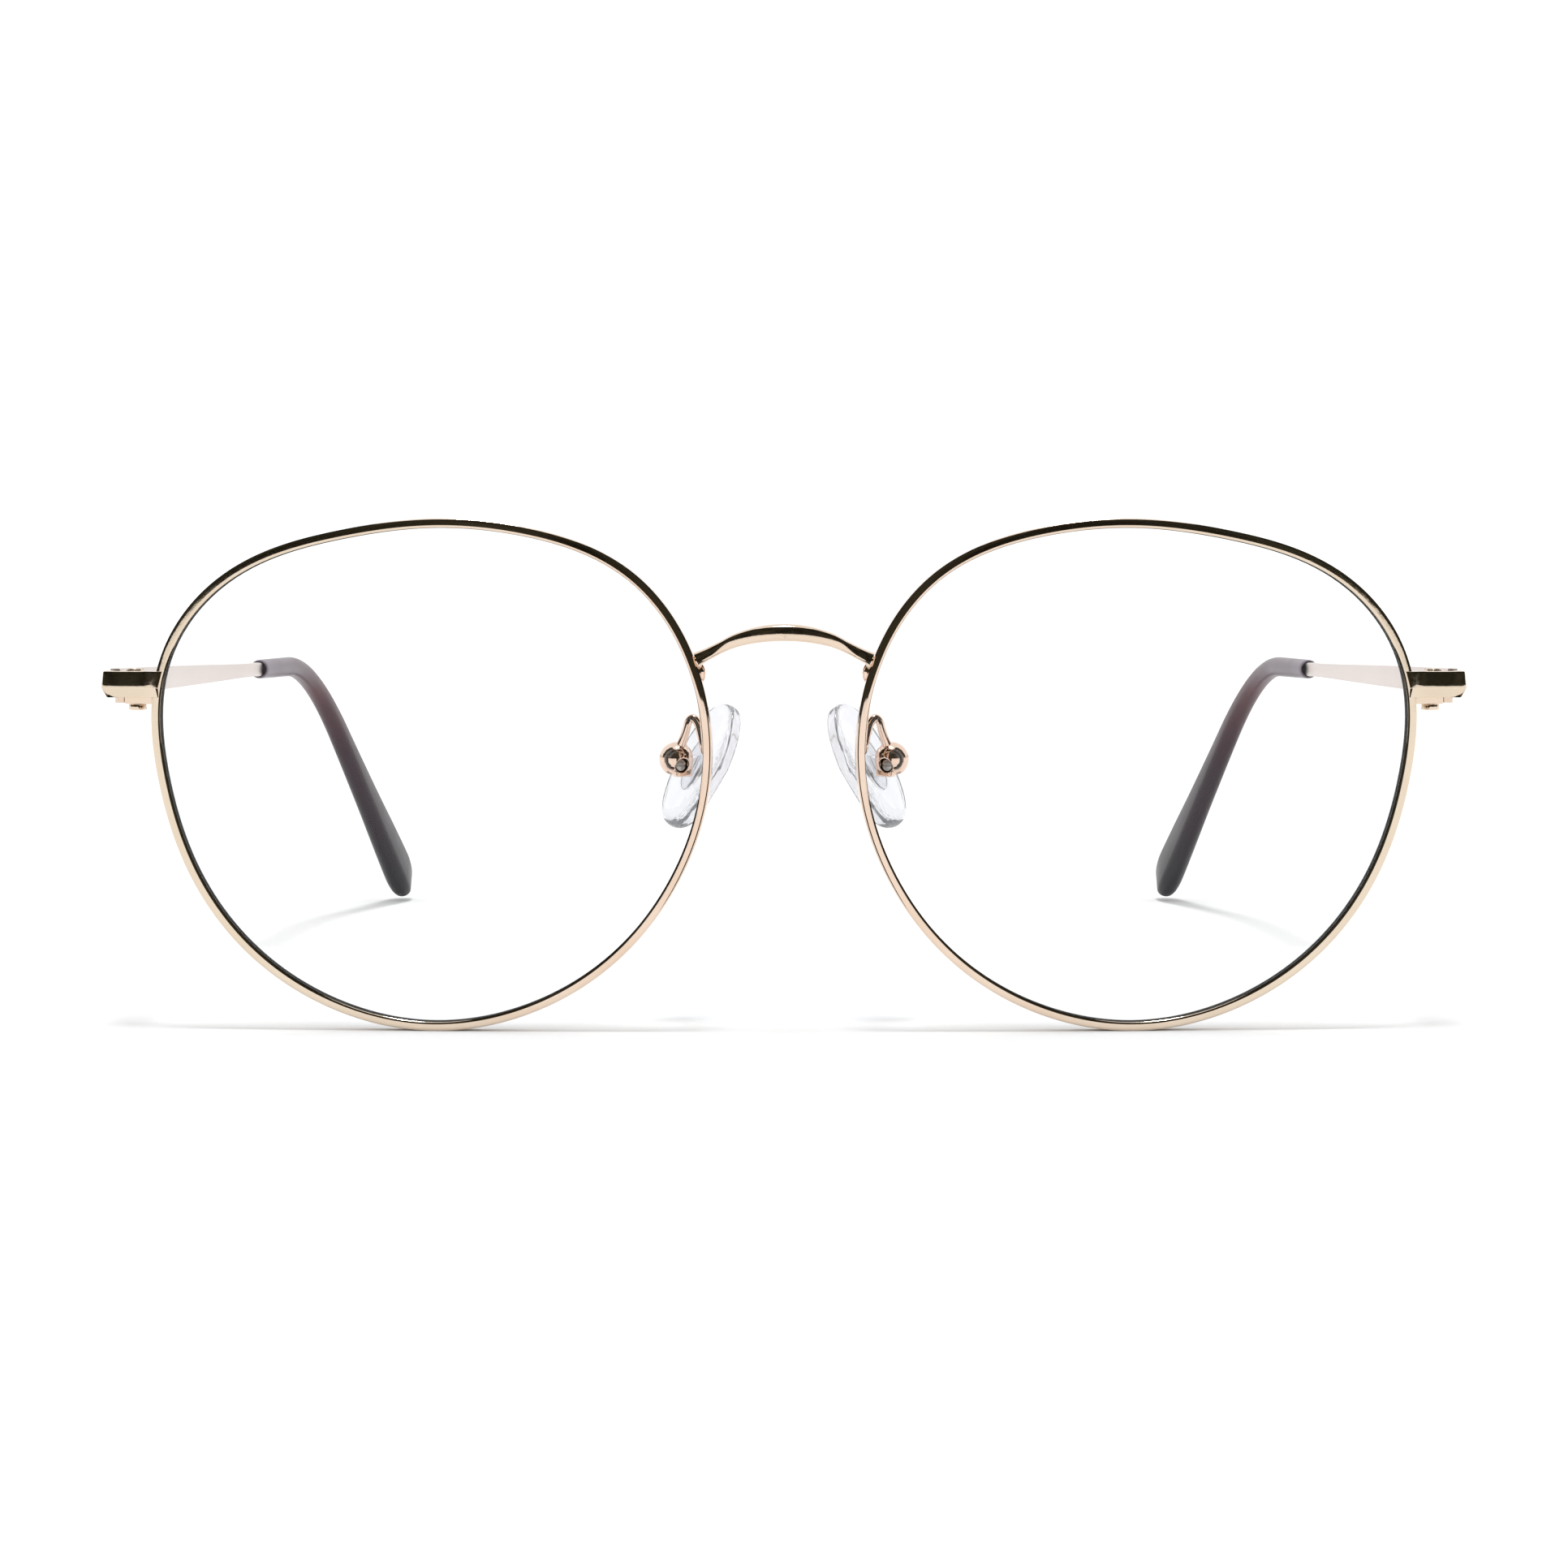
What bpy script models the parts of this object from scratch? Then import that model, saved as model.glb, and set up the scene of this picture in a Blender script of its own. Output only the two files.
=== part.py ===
"""Full-rim metal eyeglasses with folding temples and rocking nose pads.

The front faces -Y, the wearer's left is +X and +Z is up.  The glasses stand
open on the bottom of both rims and on both temple tips.  Pieces are modelled
in millimetres with y = 0 at the front of the rims, on the wearer's left side,
and mirrored for the right side.  The last step moves them to metres.
"""
import math

import bmesh
import bpy
import numpy as np
from mathutils import Matrix, Vector

OBJECT = "eyeglasses"
MM = 0.001
# distance from the front of the rims to the middle of the overall depth
MID_DEPTH = 66.70
GAP = 0.05

# rim outline: outer radii every 22.5 degrees from the temporal side upward
RIM_RADII = (27.3, 29.3, 28.5, 26.0, 25.35, 26.4, 28.4, 28.55,
             27.75, 26.7, 26.0, 25.55, 25.4, 25.3, 25.55, 26.1)
RIM_CENTRE_X = 35.0
RIM_CENTRE_Z = 25.4
RIM_WRAP = math.radians(3.0)
LENS_CURVE_R = 300.0
RIM_SEGMENTS = 72
RIM_WALL = 0.88
RIM_DEPTH = 1.8
GROOVE_DEPTH = 0.40
GROOVE_HALF_WIDTH = 0.45
RIM_EDGE_ROUND = 0.18
SPLIT_ANGLE = 17.35
SPLIT_HALF_GAP = 0.28

LENS_FRONT = 0.30
LENS_BACK = 1.60
LENS_RING_SCALES = (0.14, 0.5, 0.8)

# bridge arch: x, centre depth, centre height, section height, section depth
BRIDGE_STATIONS = (
    (0.0, -0.25, 39.57, 1.65, 1.85),
    (1.6, -0.22, 39.49, 1.60, 1.82),
    (3.2, -0.10, 39.22, 1.46, 1.72),
    (4.8, 0.12, 38.77, 1.30, 1.58),
    (6.2, 0.38, 38.14, 1.20, 1.46),
    (7.2, 0.58, 37.64, 1.22, 1.42),
    (8.0, 0.70, 37.24, 1.28, 1.46),
    (8.62, 0.74, 36.94, 1.45, 1.56),
)
BRIDGE_ROUND = 0.32

END_LOW = 33.05
END_HIGH = 35.65
# plan outline of the L-shaped end piece, inner front corner first
END_OUTLINE = (
    (62.78, 2.72), (66.55, 2.80), (67.20, 2.98), (67.62, 3.36), (67.82, 3.95),
    (67.78, 6.60), (66.66, 6.60), (66.62, 4.45), (66.44, 4.08), (66.05, 3.90),
    (62.78, 3.82),
)
END_BEVEL = 0.22
END_SLANT = 0.15

BLOCK_X = (62.80, 65.55)
BLOCK_Y = (3.90, 5.40)
BLOCK_UPPER_Z = (34.00, 35.45)
BLOCK_LOWER_Z = (32.36, 33.78)
BLOCK_BEVEL = 0.12
LOCK_SCREW_X = 64.35
LOCK_SCREW_Y = 4.66
LOCK_SHANK_R = 0.50
LOCK_BORE_R = 0.56
LOCK_HEAD_R = 0.88
LOCK_HEAD_LOW = 31.76
LOCK_TIP = 35.00
LOCK_BORE_TOP = 35.08

HINGE_X = 65.08
HINGE_Y = 7.6
BARREL_R = 1.12
BARREL_BORE_R = 0.50
HINGE_SHANK_R = 0.45
LOWER_BARREL = (32.46, 33.38)
MIDDLE_BARREL = (33.45, 34.40)
UPPER_BARREL = (34.47, 35.40)
HINGE_HEAD = (35.43, 35.74)
HINGE_HEAD_R = 0.85
KNUCKLE_CLEAR = 0.08
FRONT_LEAF = ((66.57, 4.55), (66.57, 6.50), (66.12, 6.90))
FRONT_LEAF_INNER = ((64.15, 6.80), (65.65, 5.60), (65.65, 4.35), (66.35, 4.35))
TEMPLE_LEAF_END_Y = 11.3
TEMPLE_LEAF_START_Y = 8.98
TEMPLE_LEAF_THICK = 0.75
TEMPLE_LEAF_Z = (33.10, 35.25)

# temple centre line: start, bend corner and end of the drop
TEMPLE_START = Vector((66.90, 6.66, 34.44))
TEMPLE_CORNER = Vector((58.89, 104.2, 32.05))
TEMPLE_END = Vector((49.85, 133.4, 1.60))
BEND_REACH = 13.0
BEND_STEPS = 10
# temple section by distance along the centre line: distance, thickness, height, corner
STRIP_SECTIONS = (
    (0.0, 1.00, 2.66, 0.18),
    (24.4, 0.95, 2.30, 0.18),
    (63.4, 0.88, 1.52, 0.20),
    (67.3, 0.88, 1.62, 0.20),
    (68.3, 0.88, 1.46, 0.22),
    (70.0, 0.86, 1.24, 0.30),
    (126.0, 0.86, 1.10, 0.36),
)
CORE_END = 124.0
BORE_CLEAR = 0.06
BORE_END_CLEAR = 0.3
MOUTH_BORE = 1.72
MOUTH_DEPTH = 1.6
# sleeve section: distance, thickness, height, corner
SLEEVE_SECTIONS = (
    (68.3, 2.00, 2.04, 0.98),
    (68.9, 2.14, 2.20, 1.05),
    (84.0, 2.18, 2.30, 1.07),
    (98.0, 2.25, 2.50, 1.10),
    (110.0, 2.35, 3.20, 1.15),
    (122.0, 2.50, 4.40, 1.22),
    (131.0, 2.75, 5.60, 1.34),
    (136.6, 2.85, 6.00, 1.38),
    (138.7, 2.40, 5.00, 1.15),
    (139.8, 1.40, 3.20, 0.65),
)

# nose pad assembly: the frame turns with the splay, the pad leans by its tilt
PAD_SPLAY = math.radians(36.0)
PAD_TILT = math.radians(29.0)
PAD_AXIS = Vector((11.1, 8.8, 26.0))
PAD_STANDOFF = 3.3
PAD_RISE = 1.45
PAD_LENGTH = 13.8
PAD_WIDTH = 7.9
PAD_THICK = 2.2
PAD_POCKET_DEPTH = 0.55
INSERT_PLATE = (0.45, 3.2, 6.2)
LUG_THICK = 1.0
LUG_R = 0.85
LUG_NECK = 1.3
LUG_BORE_R = 0.56
BOX_BALL_R = 1.78
BOX_BALL_CENTRE = Vector((-0.28, -0.09, 0.54))
BOX_BLOCK = ((-1.38, -1.45, -1.20), (0.55, 0.40, 0.85))
BOX_SLOT_HALF = 0.56
BOX_SLOT = ((-2.6, 0.98), (-2.2, 1.25))
PAD_SHANK_R = 0.50
PAD_HEAD_R = 0.62
PAD_HEAD_Y = (-1.36, -0.80)
PAD_SHANK_END = 1.44
COUNTERBORE_R = 0.72
COUNTERBORE_Y = -0.74

ARM_WIRE_R = 0.43
ARM_POINTS = (
    (8.60, 2.26, 36.0), (8.40, 2.28, 34.8), (8.24, 2.60, 33.2), (8.02, 3.10, 31.4),
    (7.86, 3.70, 29.6), (7.80, 4.35, 28.2), (7.88, 5.15, 27.6), (8.04, 5.95, 28.1),
    (8.30, 6.50, 29.2), (8.66, 6.95, 30.3), (9.14, 7.25, 30.78), (9.58, 7.60, 30.40),
    (9.86, 8.00, 29.40),
)
ARM_STEPS = 3

SCREW_SEGMENTS = 20
BARREL_SEGMENTS = 28

MATERIALS = {
    "champagne_gold": ((0.86, 0.74, 0.58), 0.16, 1.0),
    "rose_gold": ((0.90, 0.62, 0.48), 0.16, 1.0),
    "brushed_strip": ((0.78, 0.70, 0.67), 0.38, 1.0),
    "steel": ((0.62, 0.61, 0.60), 0.28, 1.0),
    "clear_lens": ((0.95, 0.96, 0.96), 0.04, 0.0),
    "clear_silicone": ((0.90, 0.91, 0.93), 0.22, 0.0),
    "clear_insert": ((0.86, 0.87, 0.90), 0.18, 0.0),
    "smoky_acetate": ((0.10, 0.07, 0.07), 0.25, 0.0),
}


def clear_scene():
    for old in list(bpy.data.objects):
        bpy.data.objects.remove(old)


def new_collection(name):
    group = bpy.data.collections.new(name)
    bpy.context.scene.collection.children.link(group)
    return group


def make_material(name):
    colour, roughness, metallic = MATERIALS[name]
    material = bpy.data.materials.new(name)
    material.use_nodes = True
    shader = material.node_tree.nodes["Principled BSDF"]
    shader.inputs["Base Color"].default_value = (*colour, 1.0)
    shader.inputs["Roughness"].default_value = roughness
    shader.inputs["Metallic"].default_value = metallic
    return material


def tidy_mesh(mesh):
    """Weld loose caps and turn every face outward."""
    work = bmesh.new()
    work.from_mesh(mesh)
    bmesh.ops.remove_doubles(work, verts=work.verts, dist=0.0001)
    bmesh.ops.recalc_face_normals(work, faces=work.faces)
    if work.calc_volume(signed=True) < 0.0:
        bmesh.ops.reverse_faces(work, faces=work.faces)
    work.to_mesh(mesh)
    work.free()
    return mesh


def baked(item):
    """Mesh of an object with its modifiers applied; the object is removed."""
    bpy.context.view_layer.update()
    graph = bpy.context.evaluated_depsgraph_get()
    mesh = bpy.data.meshes.new_from_object(item.evaluated_get(graph))
    mesh.transform(item.matrix_world)
    bpy.data.objects.remove(item)
    return tidy_mesh(mesh)


def guide(data):
    item = bpy.data.objects.new("guide", data)
    guides.objects.link(item)
    item.hide_render = True
    item.display_type = "WIRE"
    return item


def poly_curve(points, cyclic, flat):
    curve = bpy.data.curves.new("guide", "CURVE")
    curve.dimensions = "2D" if flat else "3D"
    spline = curve.splines.new("POLY")
    spline.points.add(len(points) - 1)
    for spot, place in zip(spline.points, points):
        spot.co = (*place, 1.0)
    spline.use_cyclic_u = cyclic
    return curve


def plate(outline, low, high):
    """Flat outline in plan, extruded from low to high."""
    curve = poly_curve([(x, y, 0.0) for x, y in outline], True, True)
    curve.fill_mode = "BOTH"
    curve.extrude = 0.5 * (high - low)
    item = guide(curve)
    item.location.z = 0.5 * (low + high)
    return baked(item)


def swept(points, profile):
    """Open profile sweep that keeps the profile's second axis on local Z."""
    section = guide(poly_curve([(x, y, 0.0) for x, y in profile], True, True))
    curve = poly_curve(points, False, False)
    curve.bevel_mode = "OBJECT"
    curve.bevel_object = section
    curve.use_fill_caps = True
    curve.twist_mode = "Z_UP"
    mesh = baked(guide(curve))
    bpy.data.objects.remove(section)
    return mesh


def wire(points, radius):
    curve = poly_curve(points, False, False)
    curve.bevel_depth = radius
    curve.bevel_resolution = 2
    curve.use_fill_caps = True
    return baked(guide(curve))


def box(low, high):
    work = bmesh.new()
    bmesh.ops.create_cube(work, size=1.0)
    for vert in work.verts:
        for axis in range(3):
            middle = 0.5 * (low[axis] + high[axis])
            vert.co[axis] = middle + vert.co[axis] * (high[axis] - low[axis])
    mesh = bpy.data.meshes.new("box")
    work.to_mesh(mesh)
    work.free()
    return tidy_mesh(mesh)


def cylinder(radius, low, high, segments, place):
    work = bmesh.new()
    bmesh.ops.create_cone(work, cap_ends=True, segments=segments, radius1=radius,
                          radius2=radius, depth=high - low)
    bmesh.ops.translate(work, verts=work.verts, vec=(0.0, 0.0, 0.5 * (low + high)))
    mesh = bpy.data.meshes.new("cylinder")
    work.to_mesh(mesh)
    work.free()
    mesh.transform(place)
    return tidy_mesh(mesh)


def turned(profile, segments):
    """Turned piece about Z; the profile runs top to bottom down its outer side."""
    curve = bpy.data.meshes.new("profile")
    edges = [(i, i + 1) for i in range(len(profile) - 1)]
    curve.from_pydata([(r, 0.0, z) for r, z in profile], edges, [])
    item = guide(curve)
    screw = item.modifiers.new("Screw", "SCREW")
    screw.axis = "Z"
    screw.steps = segments
    screw.render_steps = segments
    screw.use_merge_vertices = True
    screw.merge_threshold = 0.0001
    return baked(item)


def lofted(rings):
    """Loft between sections of different shapes, with flat end caps."""
    work = bmesh.new()
    loops = [[work.verts.new(point) for point in ring] for ring in rings]
    for near, far in zip(loops, loops[1:]):
        for i in range(len(near)):
            j = (i + 1) % len(near)
            work.faces.new((near[i], near[j], far[j], far[i]))
    work.faces.new(loops[0])
    work.faces.new(loops[-1])
    mesh = bpy.data.meshes.new("loft")
    work.to_mesh(mesh)
    work.free()
    return tidy_mesh(mesh)


def combined(mesh, others, operation):
    """Exact Boolean of a mesh with a list of tools."""
    item = guide(mesh)
    tools = []
    for other in others:
        tool = guide(other)
        tools.append(tool)
        step = item.modifiers.new(operation, "BOOLEAN")
        step.operation = operation
        step.solver = "EXACT"
        step.object = tool
    result = baked(item)
    for tool in tools:
        bpy.data.objects.remove(tool)
    return result


def bevelled(mesh, width, segments):
    item = guide(mesh)
    step = item.modifiers.new("Bevel", "BEVEL")
    step.width = width
    step.segments = segments
    step.limit_method = "ANGLE"
    step.angle_limit = math.radians(40.0)
    return baked(item)


def rounded_section(thick, tall, corner):
    """Sixteen points of a rounded rectangle, first axis thick, second axis tall."""
    points = []
    for quarter in range(4):
        sx = 1.0 if quarter in (0, 3) else -1.0
        sz = 1.0 if quarter in (0, 1) else -1.0
        centre_x = sx * (0.5 * thick - corner)
        centre_z = sz * (0.5 * tall - corner)
        for step in range(4):
            angle = math.radians(90.0 * quarter + 11.25 + 22.5 * step)
            points.append((centre_x + corner * math.cos(angle),
                           centre_z + corner * math.sin(angle)))
    return points


def rim_radius_function():
    """Periodic cubic spline through the rim radii."""
    values = np.array(RIM_RADII)
    count = len(values)
    pitch = 2.0 * math.pi / count
    system = np.zeros((count, count))
    right = np.zeros(count)
    for i in range(count):
        before = (i - 1) % count
        after = (i + 1) % count
        system[i, before] = 1.0
        system[i, i] = 4.0
        system[i, after] = 1.0
        right[i] = 6.0 * (values[before] - 2.0 * values[i] + values[after]) / pitch ** 2
    bend = np.linalg.solve(system, right)

    def radius(angle):
        turn = (angle / pitch) % count
        i = int(turn) % count
        j = (i + 1) % count
        b = turn - int(turn)
        a = 1.0 - b
        cubic = (a ** 3 - a) * bend[i] + (b ** 3 - b) * bend[j]
        return a * values[i] + b * values[j] + cubic * pitch ** 2 / 6.0

    return radius


rim_radius = rim_radius_function()


def outline_point(angle, inset):
    """Point of the rim outline, moved inward along its own normal."""
    step = 0.002
    ahead = angle + step
    behind = angle - step
    here = Vector((math.cos(angle), math.sin(angle))) * rim_radius(angle)
    after = Vector((math.cos(ahead), math.sin(ahead))) * rim_radius(ahead)
    before = Vector((math.cos(behind), math.sin(behind))) * rim_radius(behind)
    tangent = (after - before).normalized()
    return here + Vector((-tangent.y, tangent.x)) * inset


def sag(u, v):
    return (u * u + v * v) / (2.0 * LENS_CURVE_R)


# local rim frame: X temporal, Y up, Z toward the front
FRONT = Matrix((
    (math.cos(RIM_WRAP), 0.0, math.sin(RIM_WRAP), RIM_CENTRE_X),
    (math.sin(RIM_WRAP), 0.0, -math.cos(RIM_WRAP), 0.0),
    (0.0, 1.0, 0.0, RIM_CENTRE_Z),
    (0.0, 0.0, 0.0, 1.0),
))


def rim_angles():
    """Stations round the rim from one side of its split to the other."""
    start = math.radians(SPLIT_ANGLE + SPLIT_HALF_GAP)
    sweep = math.radians(360.0 - 2.0 * SPLIT_HALF_GAP)
    return [start + sweep * i / RIM_SEGMENTS for i in range(RIM_SEGMENTS + 1)]


def rim():
    points = []
    for angle in rim_angles():
        spot = outline_point(angle, 0.0)
        points.append((spot.x, spot.y, -sag(spot.x, spot.y)))
    middle = 0.5 * RIM_DEPTH
    e = RIM_EDGE_ROUND
    profile = (
        (-e, 0.0), (0.0, -e), (0.0, e - RIM_DEPTH), (-e, -RIM_DEPTH),
        (-RIM_WALL, -RIM_DEPTH), (-RIM_WALL, -middle - GROOVE_HALF_WIDTH),
        (-RIM_WALL + GROOVE_DEPTH, -middle), (-RIM_WALL, -middle + GROOVE_HALF_WIDTH),
        (-RIM_WALL, 0.0),
    )
    mesh = swept(points, profile)
    mesh.transform(FRONT)
    return mesh


def lens():
    edge = RIM_WALL + 0.06
    apex = edge - GROOVE_DEPTH
    middle = 0.5 * RIM_DEPTH
    rings = []

    def add_ring(inset, scale, depth):
        ring = []
        for angle in rim_angles():
            spot = outline_point(angle, inset) * scale
            ring.append((spot.x, spot.y, -sag(spot.x, spot.y) - depth))
        rings.append(ring)

    for scale in LENS_RING_SCALES:
        add_ring(edge, scale, LENS_FRONT)
    add_ring(edge, 1.0, LENS_FRONT)
    add_ring(edge, 1.0, middle - GROOVE_HALF_WIDTH + 0.06)
    add_ring(apex, 1.0, middle)
    add_ring(edge, 1.0, middle + GROOVE_HALF_WIDTH - 0.06)
    add_ring(edge, 1.0, LENS_BACK)
    for scale in reversed(LENS_RING_SCALES):
        add_ring(edge, scale, LENS_BACK)
    mesh = lofted(rings)
    mesh.transform(FRONT)
    return mesh


def bridge():
    stations = [(-x, y, z, tall, deep) for x, y, z, tall, deep in reversed(BRIDGE_STATIONS[1:])]
    stations.extend(BRIDGE_STATIONS)
    centres = [Vector((x, y, z)) for x, y, z, tall, deep in stations]
    rings = []
    for i, station in enumerate(stations):
        before = centres[max(i - 1, 0)]
        after = centres[min(i + 1, len(centres) - 1)]
        along = (after - before).normalized()
        back = (Vector((0.0, 1.0, 0.0)) - along * along.y).normalized()
        up = along.cross(back)
        section = rounded_section(station[4], station[3], BRIDGE_ROUND)
        rings.append([centres[i] + back * a + up * b for a, b in section])
    return lofted(rings)


def end_piece():
    mesh = bevelled(plate(END_OUTLINE, END_LOW, END_HIGH), END_BEVEL, 2)
    inner = min(vert.co.x for vert in mesh.vertices)
    for vert in mesh.vertices:
        if vert.co.x < inner + END_BEVEL:
            vert.co.x -= END_SLANT * (vert.co.z - END_LOW)
    return mesh


def lock_block(heights):
    mesh = box((BLOCK_X[0], BLOCK_Y[0], heights[0]), (BLOCK_X[1], BLOCK_Y[1], heights[1]))
    mesh = bevelled(mesh, BLOCK_BEVEL, 1)
    place = Matrix.Translation((LOCK_SCREW_X, LOCK_SCREW_Y, 0.0))
    bore = cylinder(LOCK_BORE_R, LOCK_HEAD_LOW, LOCK_BORE_TOP, SCREW_SEGMENTS, place)
    return combined(mesh, [bore], "DIFFERENCE")


def lock_screw():
    shoulder = BLOCK_LOWER_Z[0] - GAP
    chamfer = 0.12
    profile = (
        (0.0, LOCK_TIP), (LOCK_SHANK_R - chamfer, LOCK_TIP), (LOCK_SHANK_R, LOCK_TIP - chamfer),
        (LOCK_SHANK_R, shoulder), (LOCK_HEAD_R, shoulder),
        (LOCK_HEAD_R, LOCK_HEAD_LOW + chamfer), (LOCK_HEAD_R - chamfer, LOCK_HEAD_LOW),
        (0.0, LOCK_HEAD_LOW),
    )
    mesh = turned(profile, SCREW_SEGMENTS)
    mesh.transform(Matrix.Translation((LOCK_SCREW_X, LOCK_SCREW_Y, 0.0)))
    slot = box((LOCK_SCREW_X - 1.2, LOCK_SCREW_Y - 0.13, LOCK_HEAD_LOW - 0.5),
               (LOCK_SCREW_X + 1.2, LOCK_SCREW_Y + 0.13, LOCK_HEAD_LOW + 0.2))
    return combined(mesh, [slot], "DIFFERENCE")


def barrel_arc(start, end, steps):
    points = []
    for i in range(steps + 1):
        angle = math.radians(start + (end - start) * i / steps)
        points.append((HINGE_X + BARREL_R * math.cos(angle), HINGE_Y + BARREL_R * math.sin(angle)))
    return points


def hinge_bore():
    place = Matrix.Translation((HINGE_X, HINGE_Y, 0.0))
    return cylinder(BARREL_BORE_R, LOWER_BARREL[0] - 1.0, UPPER_BARREL[1] + 1.0,
                    SCREW_SEGMENTS, place)


def front_hinge():
    outline = list(FRONT_LEAF)
    outline.extend(barrel_arc(-25.0, 215.0, 20))
    outline.extend(FRONT_LEAF_INNER)
    mesh = plate(outline, LOWER_BARREL[0], UPPER_BARREL[1])
    place = Matrix.Translation((HINGE_X, HINGE_Y, 0.0))
    middle = cylinder(BARREL_R + KNUCKLE_CLEAR, LOWER_BARREL[1], UPPER_BARREL[0],
                      BARREL_SEGMENTS, place)
    return combined(mesh, [middle, hinge_bore()], "DIFFERENCE")


def hinge_screw():
    profile = (
        (0.0, HINGE_HEAD[1]), (HINGE_HEAD_R - 0.15, HINGE_HEAD[1]),
        (HINGE_HEAD_R, HINGE_HEAD[1] - 0.15), (HINGE_HEAD_R, HINGE_HEAD[0]),
        (HINGE_SHANK_R, HINGE_HEAD[0]), (HINGE_SHANK_R, LOWER_BARREL[0] + 0.1),
        (0.0, LOWER_BARREL[0] + 0.1),
    )
    mesh = turned(profile, SCREW_SEGMENTS)
    mesh.transform(Matrix.Translation((HINGE_X, HINGE_Y, 0.0)))
    slot = box((HINGE_X - 1.2, HINGE_Y - 0.12, HINGE_HEAD[1] - 0.15),
               (HINGE_X + 1.2, HINGE_Y + 0.12, HINGE_HEAD[1] + 0.5))
    return combined(mesh, [slot], "DIFFERENCE")


def strip_inner_x(y):
    """Inner face of the temple strip where the hinge leaf lies against it."""
    slope = (TEMPLE_CORNER.x - TEMPLE_START.x) / (TEMPLE_CORNER.y - TEMPLE_START.y)
    thick = STRIP_SECTIONS[0][1]
    return TEMPLE_START.x + slope * (y - TEMPLE_START.y) - 0.5 * thick


def temple_hinge():
    face = HINGE_X + BARREL_R
    leaf_start = strip_inner_x(TEMPLE_LEAF_START_Y) - GAP
    leaf_end = strip_inner_x(TEMPLE_LEAF_END_Y) - GAP
    knuckle = barrel_arc(75.0, 360.0, 22)
    knuckle.extend([
        (strip_inner_x(HINGE_Y + 0.25) - GAP, HINGE_Y + 0.25),
        (leaf_start, TEMPLE_LEAF_START_Y + 0.6),
        (face - TEMPLE_LEAF_THICK, TEMPLE_LEAF_START_Y + 0.6),
    ])
    arm = plate(knuckle, MIDDLE_BARREL[0], MIDDLE_BARREL[1])
    leaf = plate([
        (leaf_start, TEMPLE_LEAF_START_Y), (leaf_end, TEMPLE_LEAF_END_Y),
        (leaf_end - TEMPLE_LEAF_THICK, TEMPLE_LEAF_END_Y),
        (leaf_start - TEMPLE_LEAF_THICK, TEMPLE_LEAF_START_Y),
    ], TEMPLE_LEAF_Z[0], TEMPLE_LEAF_Z[1])
    mesh = combined(arm, [leaf], "UNION")
    return combined(mesh, [hinge_bore()], "DIFFERENCE")


def temple_line():
    """Centre line of the temple as points with distances along it."""
    first = (TEMPLE_CORNER - TEMPLE_START).normalized()
    second = (TEMPLE_END - TEMPLE_CORNER).normalized()
    enter = TEMPLE_CORNER - first * BEND_REACH
    leave = TEMPLE_CORNER + second * BEND_REACH
    points = []
    for i in range(9):
        points.append(TEMPLE_START.lerp(enter, i / 8.0))
    for i in range(1, BEND_STEPS):
        t = i / BEND_STEPS
        points.append(enter.lerp(TEMPLE_CORNER, t).lerp(TEMPLE_CORNER.lerp(leave, t), t))
    for i in range(7):
        points.append(leave.lerp(TEMPLE_END, i / 6.0))
    lengths = [0.0]
    for near, far in zip(points, points[1:]):
        lengths.append(lengths[-1] + (far - near).length)
    return points, lengths


LINE_POINTS, LINE_LENGTHS = temple_line()


def line_frame(distance):
    """Place, side and up directions of the temple at a distance along it."""
    def place(at):
        at = min(max(at, 0.0), LINE_LENGTHS[-1])
        for i in range(len(LINE_LENGTHS) - 1):
            if at <= LINE_LENGTHS[i + 1]:
                share = (at - LINE_LENGTHS[i]) / (LINE_LENGTHS[i + 1] - LINE_LENGTHS[i])
                return LINE_POINTS[i].lerp(LINE_POINTS[i + 1], share)
        return LINE_POINTS[-1]

    reach = 1.5
    along = (place(distance + reach) - place(distance - reach)).normalized()
    side = Vector((1.0, 0.0, 0.0)) - along * along.x
    side.normalize()
    up = side.cross(along)
    return place(distance), side, up


def section_at(table, distance):
    for near, far in zip(table, table[1:]):
        if distance <= far[0]:
            share = (distance - near[0]) / (far[0] - near[0])
            return [a + (b - a) * share for a, b in zip(near[1:], far[1:])]
    return list(table[-1][1:])


def line_ring(distance, table, grow):
    centre, side, up = line_frame(distance)
    thick, tall, corner = section_at(table, distance)
    section = rounded_section(thick + 2.0 * grow, tall + 2.0 * grow, corner + grow)
    return [centre + side * a + up * b for a, b in section]


def bend_distances(start, end):
    """Stations inside the sleeve, close together round the bend."""
    stations = [start]
    stations.extend(d for d in LINE_LENGTHS if start + 0.5 < d < end - 0.5)
    stations.append(end)
    return stations


def mouth_end():
    return SLEEVE_SECTIONS[0][0] + MOUTH_DEPTH


def butt_ring(ring):
    """First ring of the strip, laid in the plane where it meets the end piece."""
    return [Vector((p.x, TEMPLE_START.y, p.z)) for p in ring]


def temple():
    rings = [butt_ring(line_ring(0.0, STRIP_SECTIONS, 0.0))]
    for row in STRIP_SECTIONS[1:-1]:
        rings.append(line_ring(row[0], STRIP_SECTIONS, 0.0))
    for distance in bend_distances(mouth_end(), CORE_END)[1:]:
        rings.append(line_ring(distance, STRIP_SECTIONS, 0.0))
    return lofted(rings)


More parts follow.
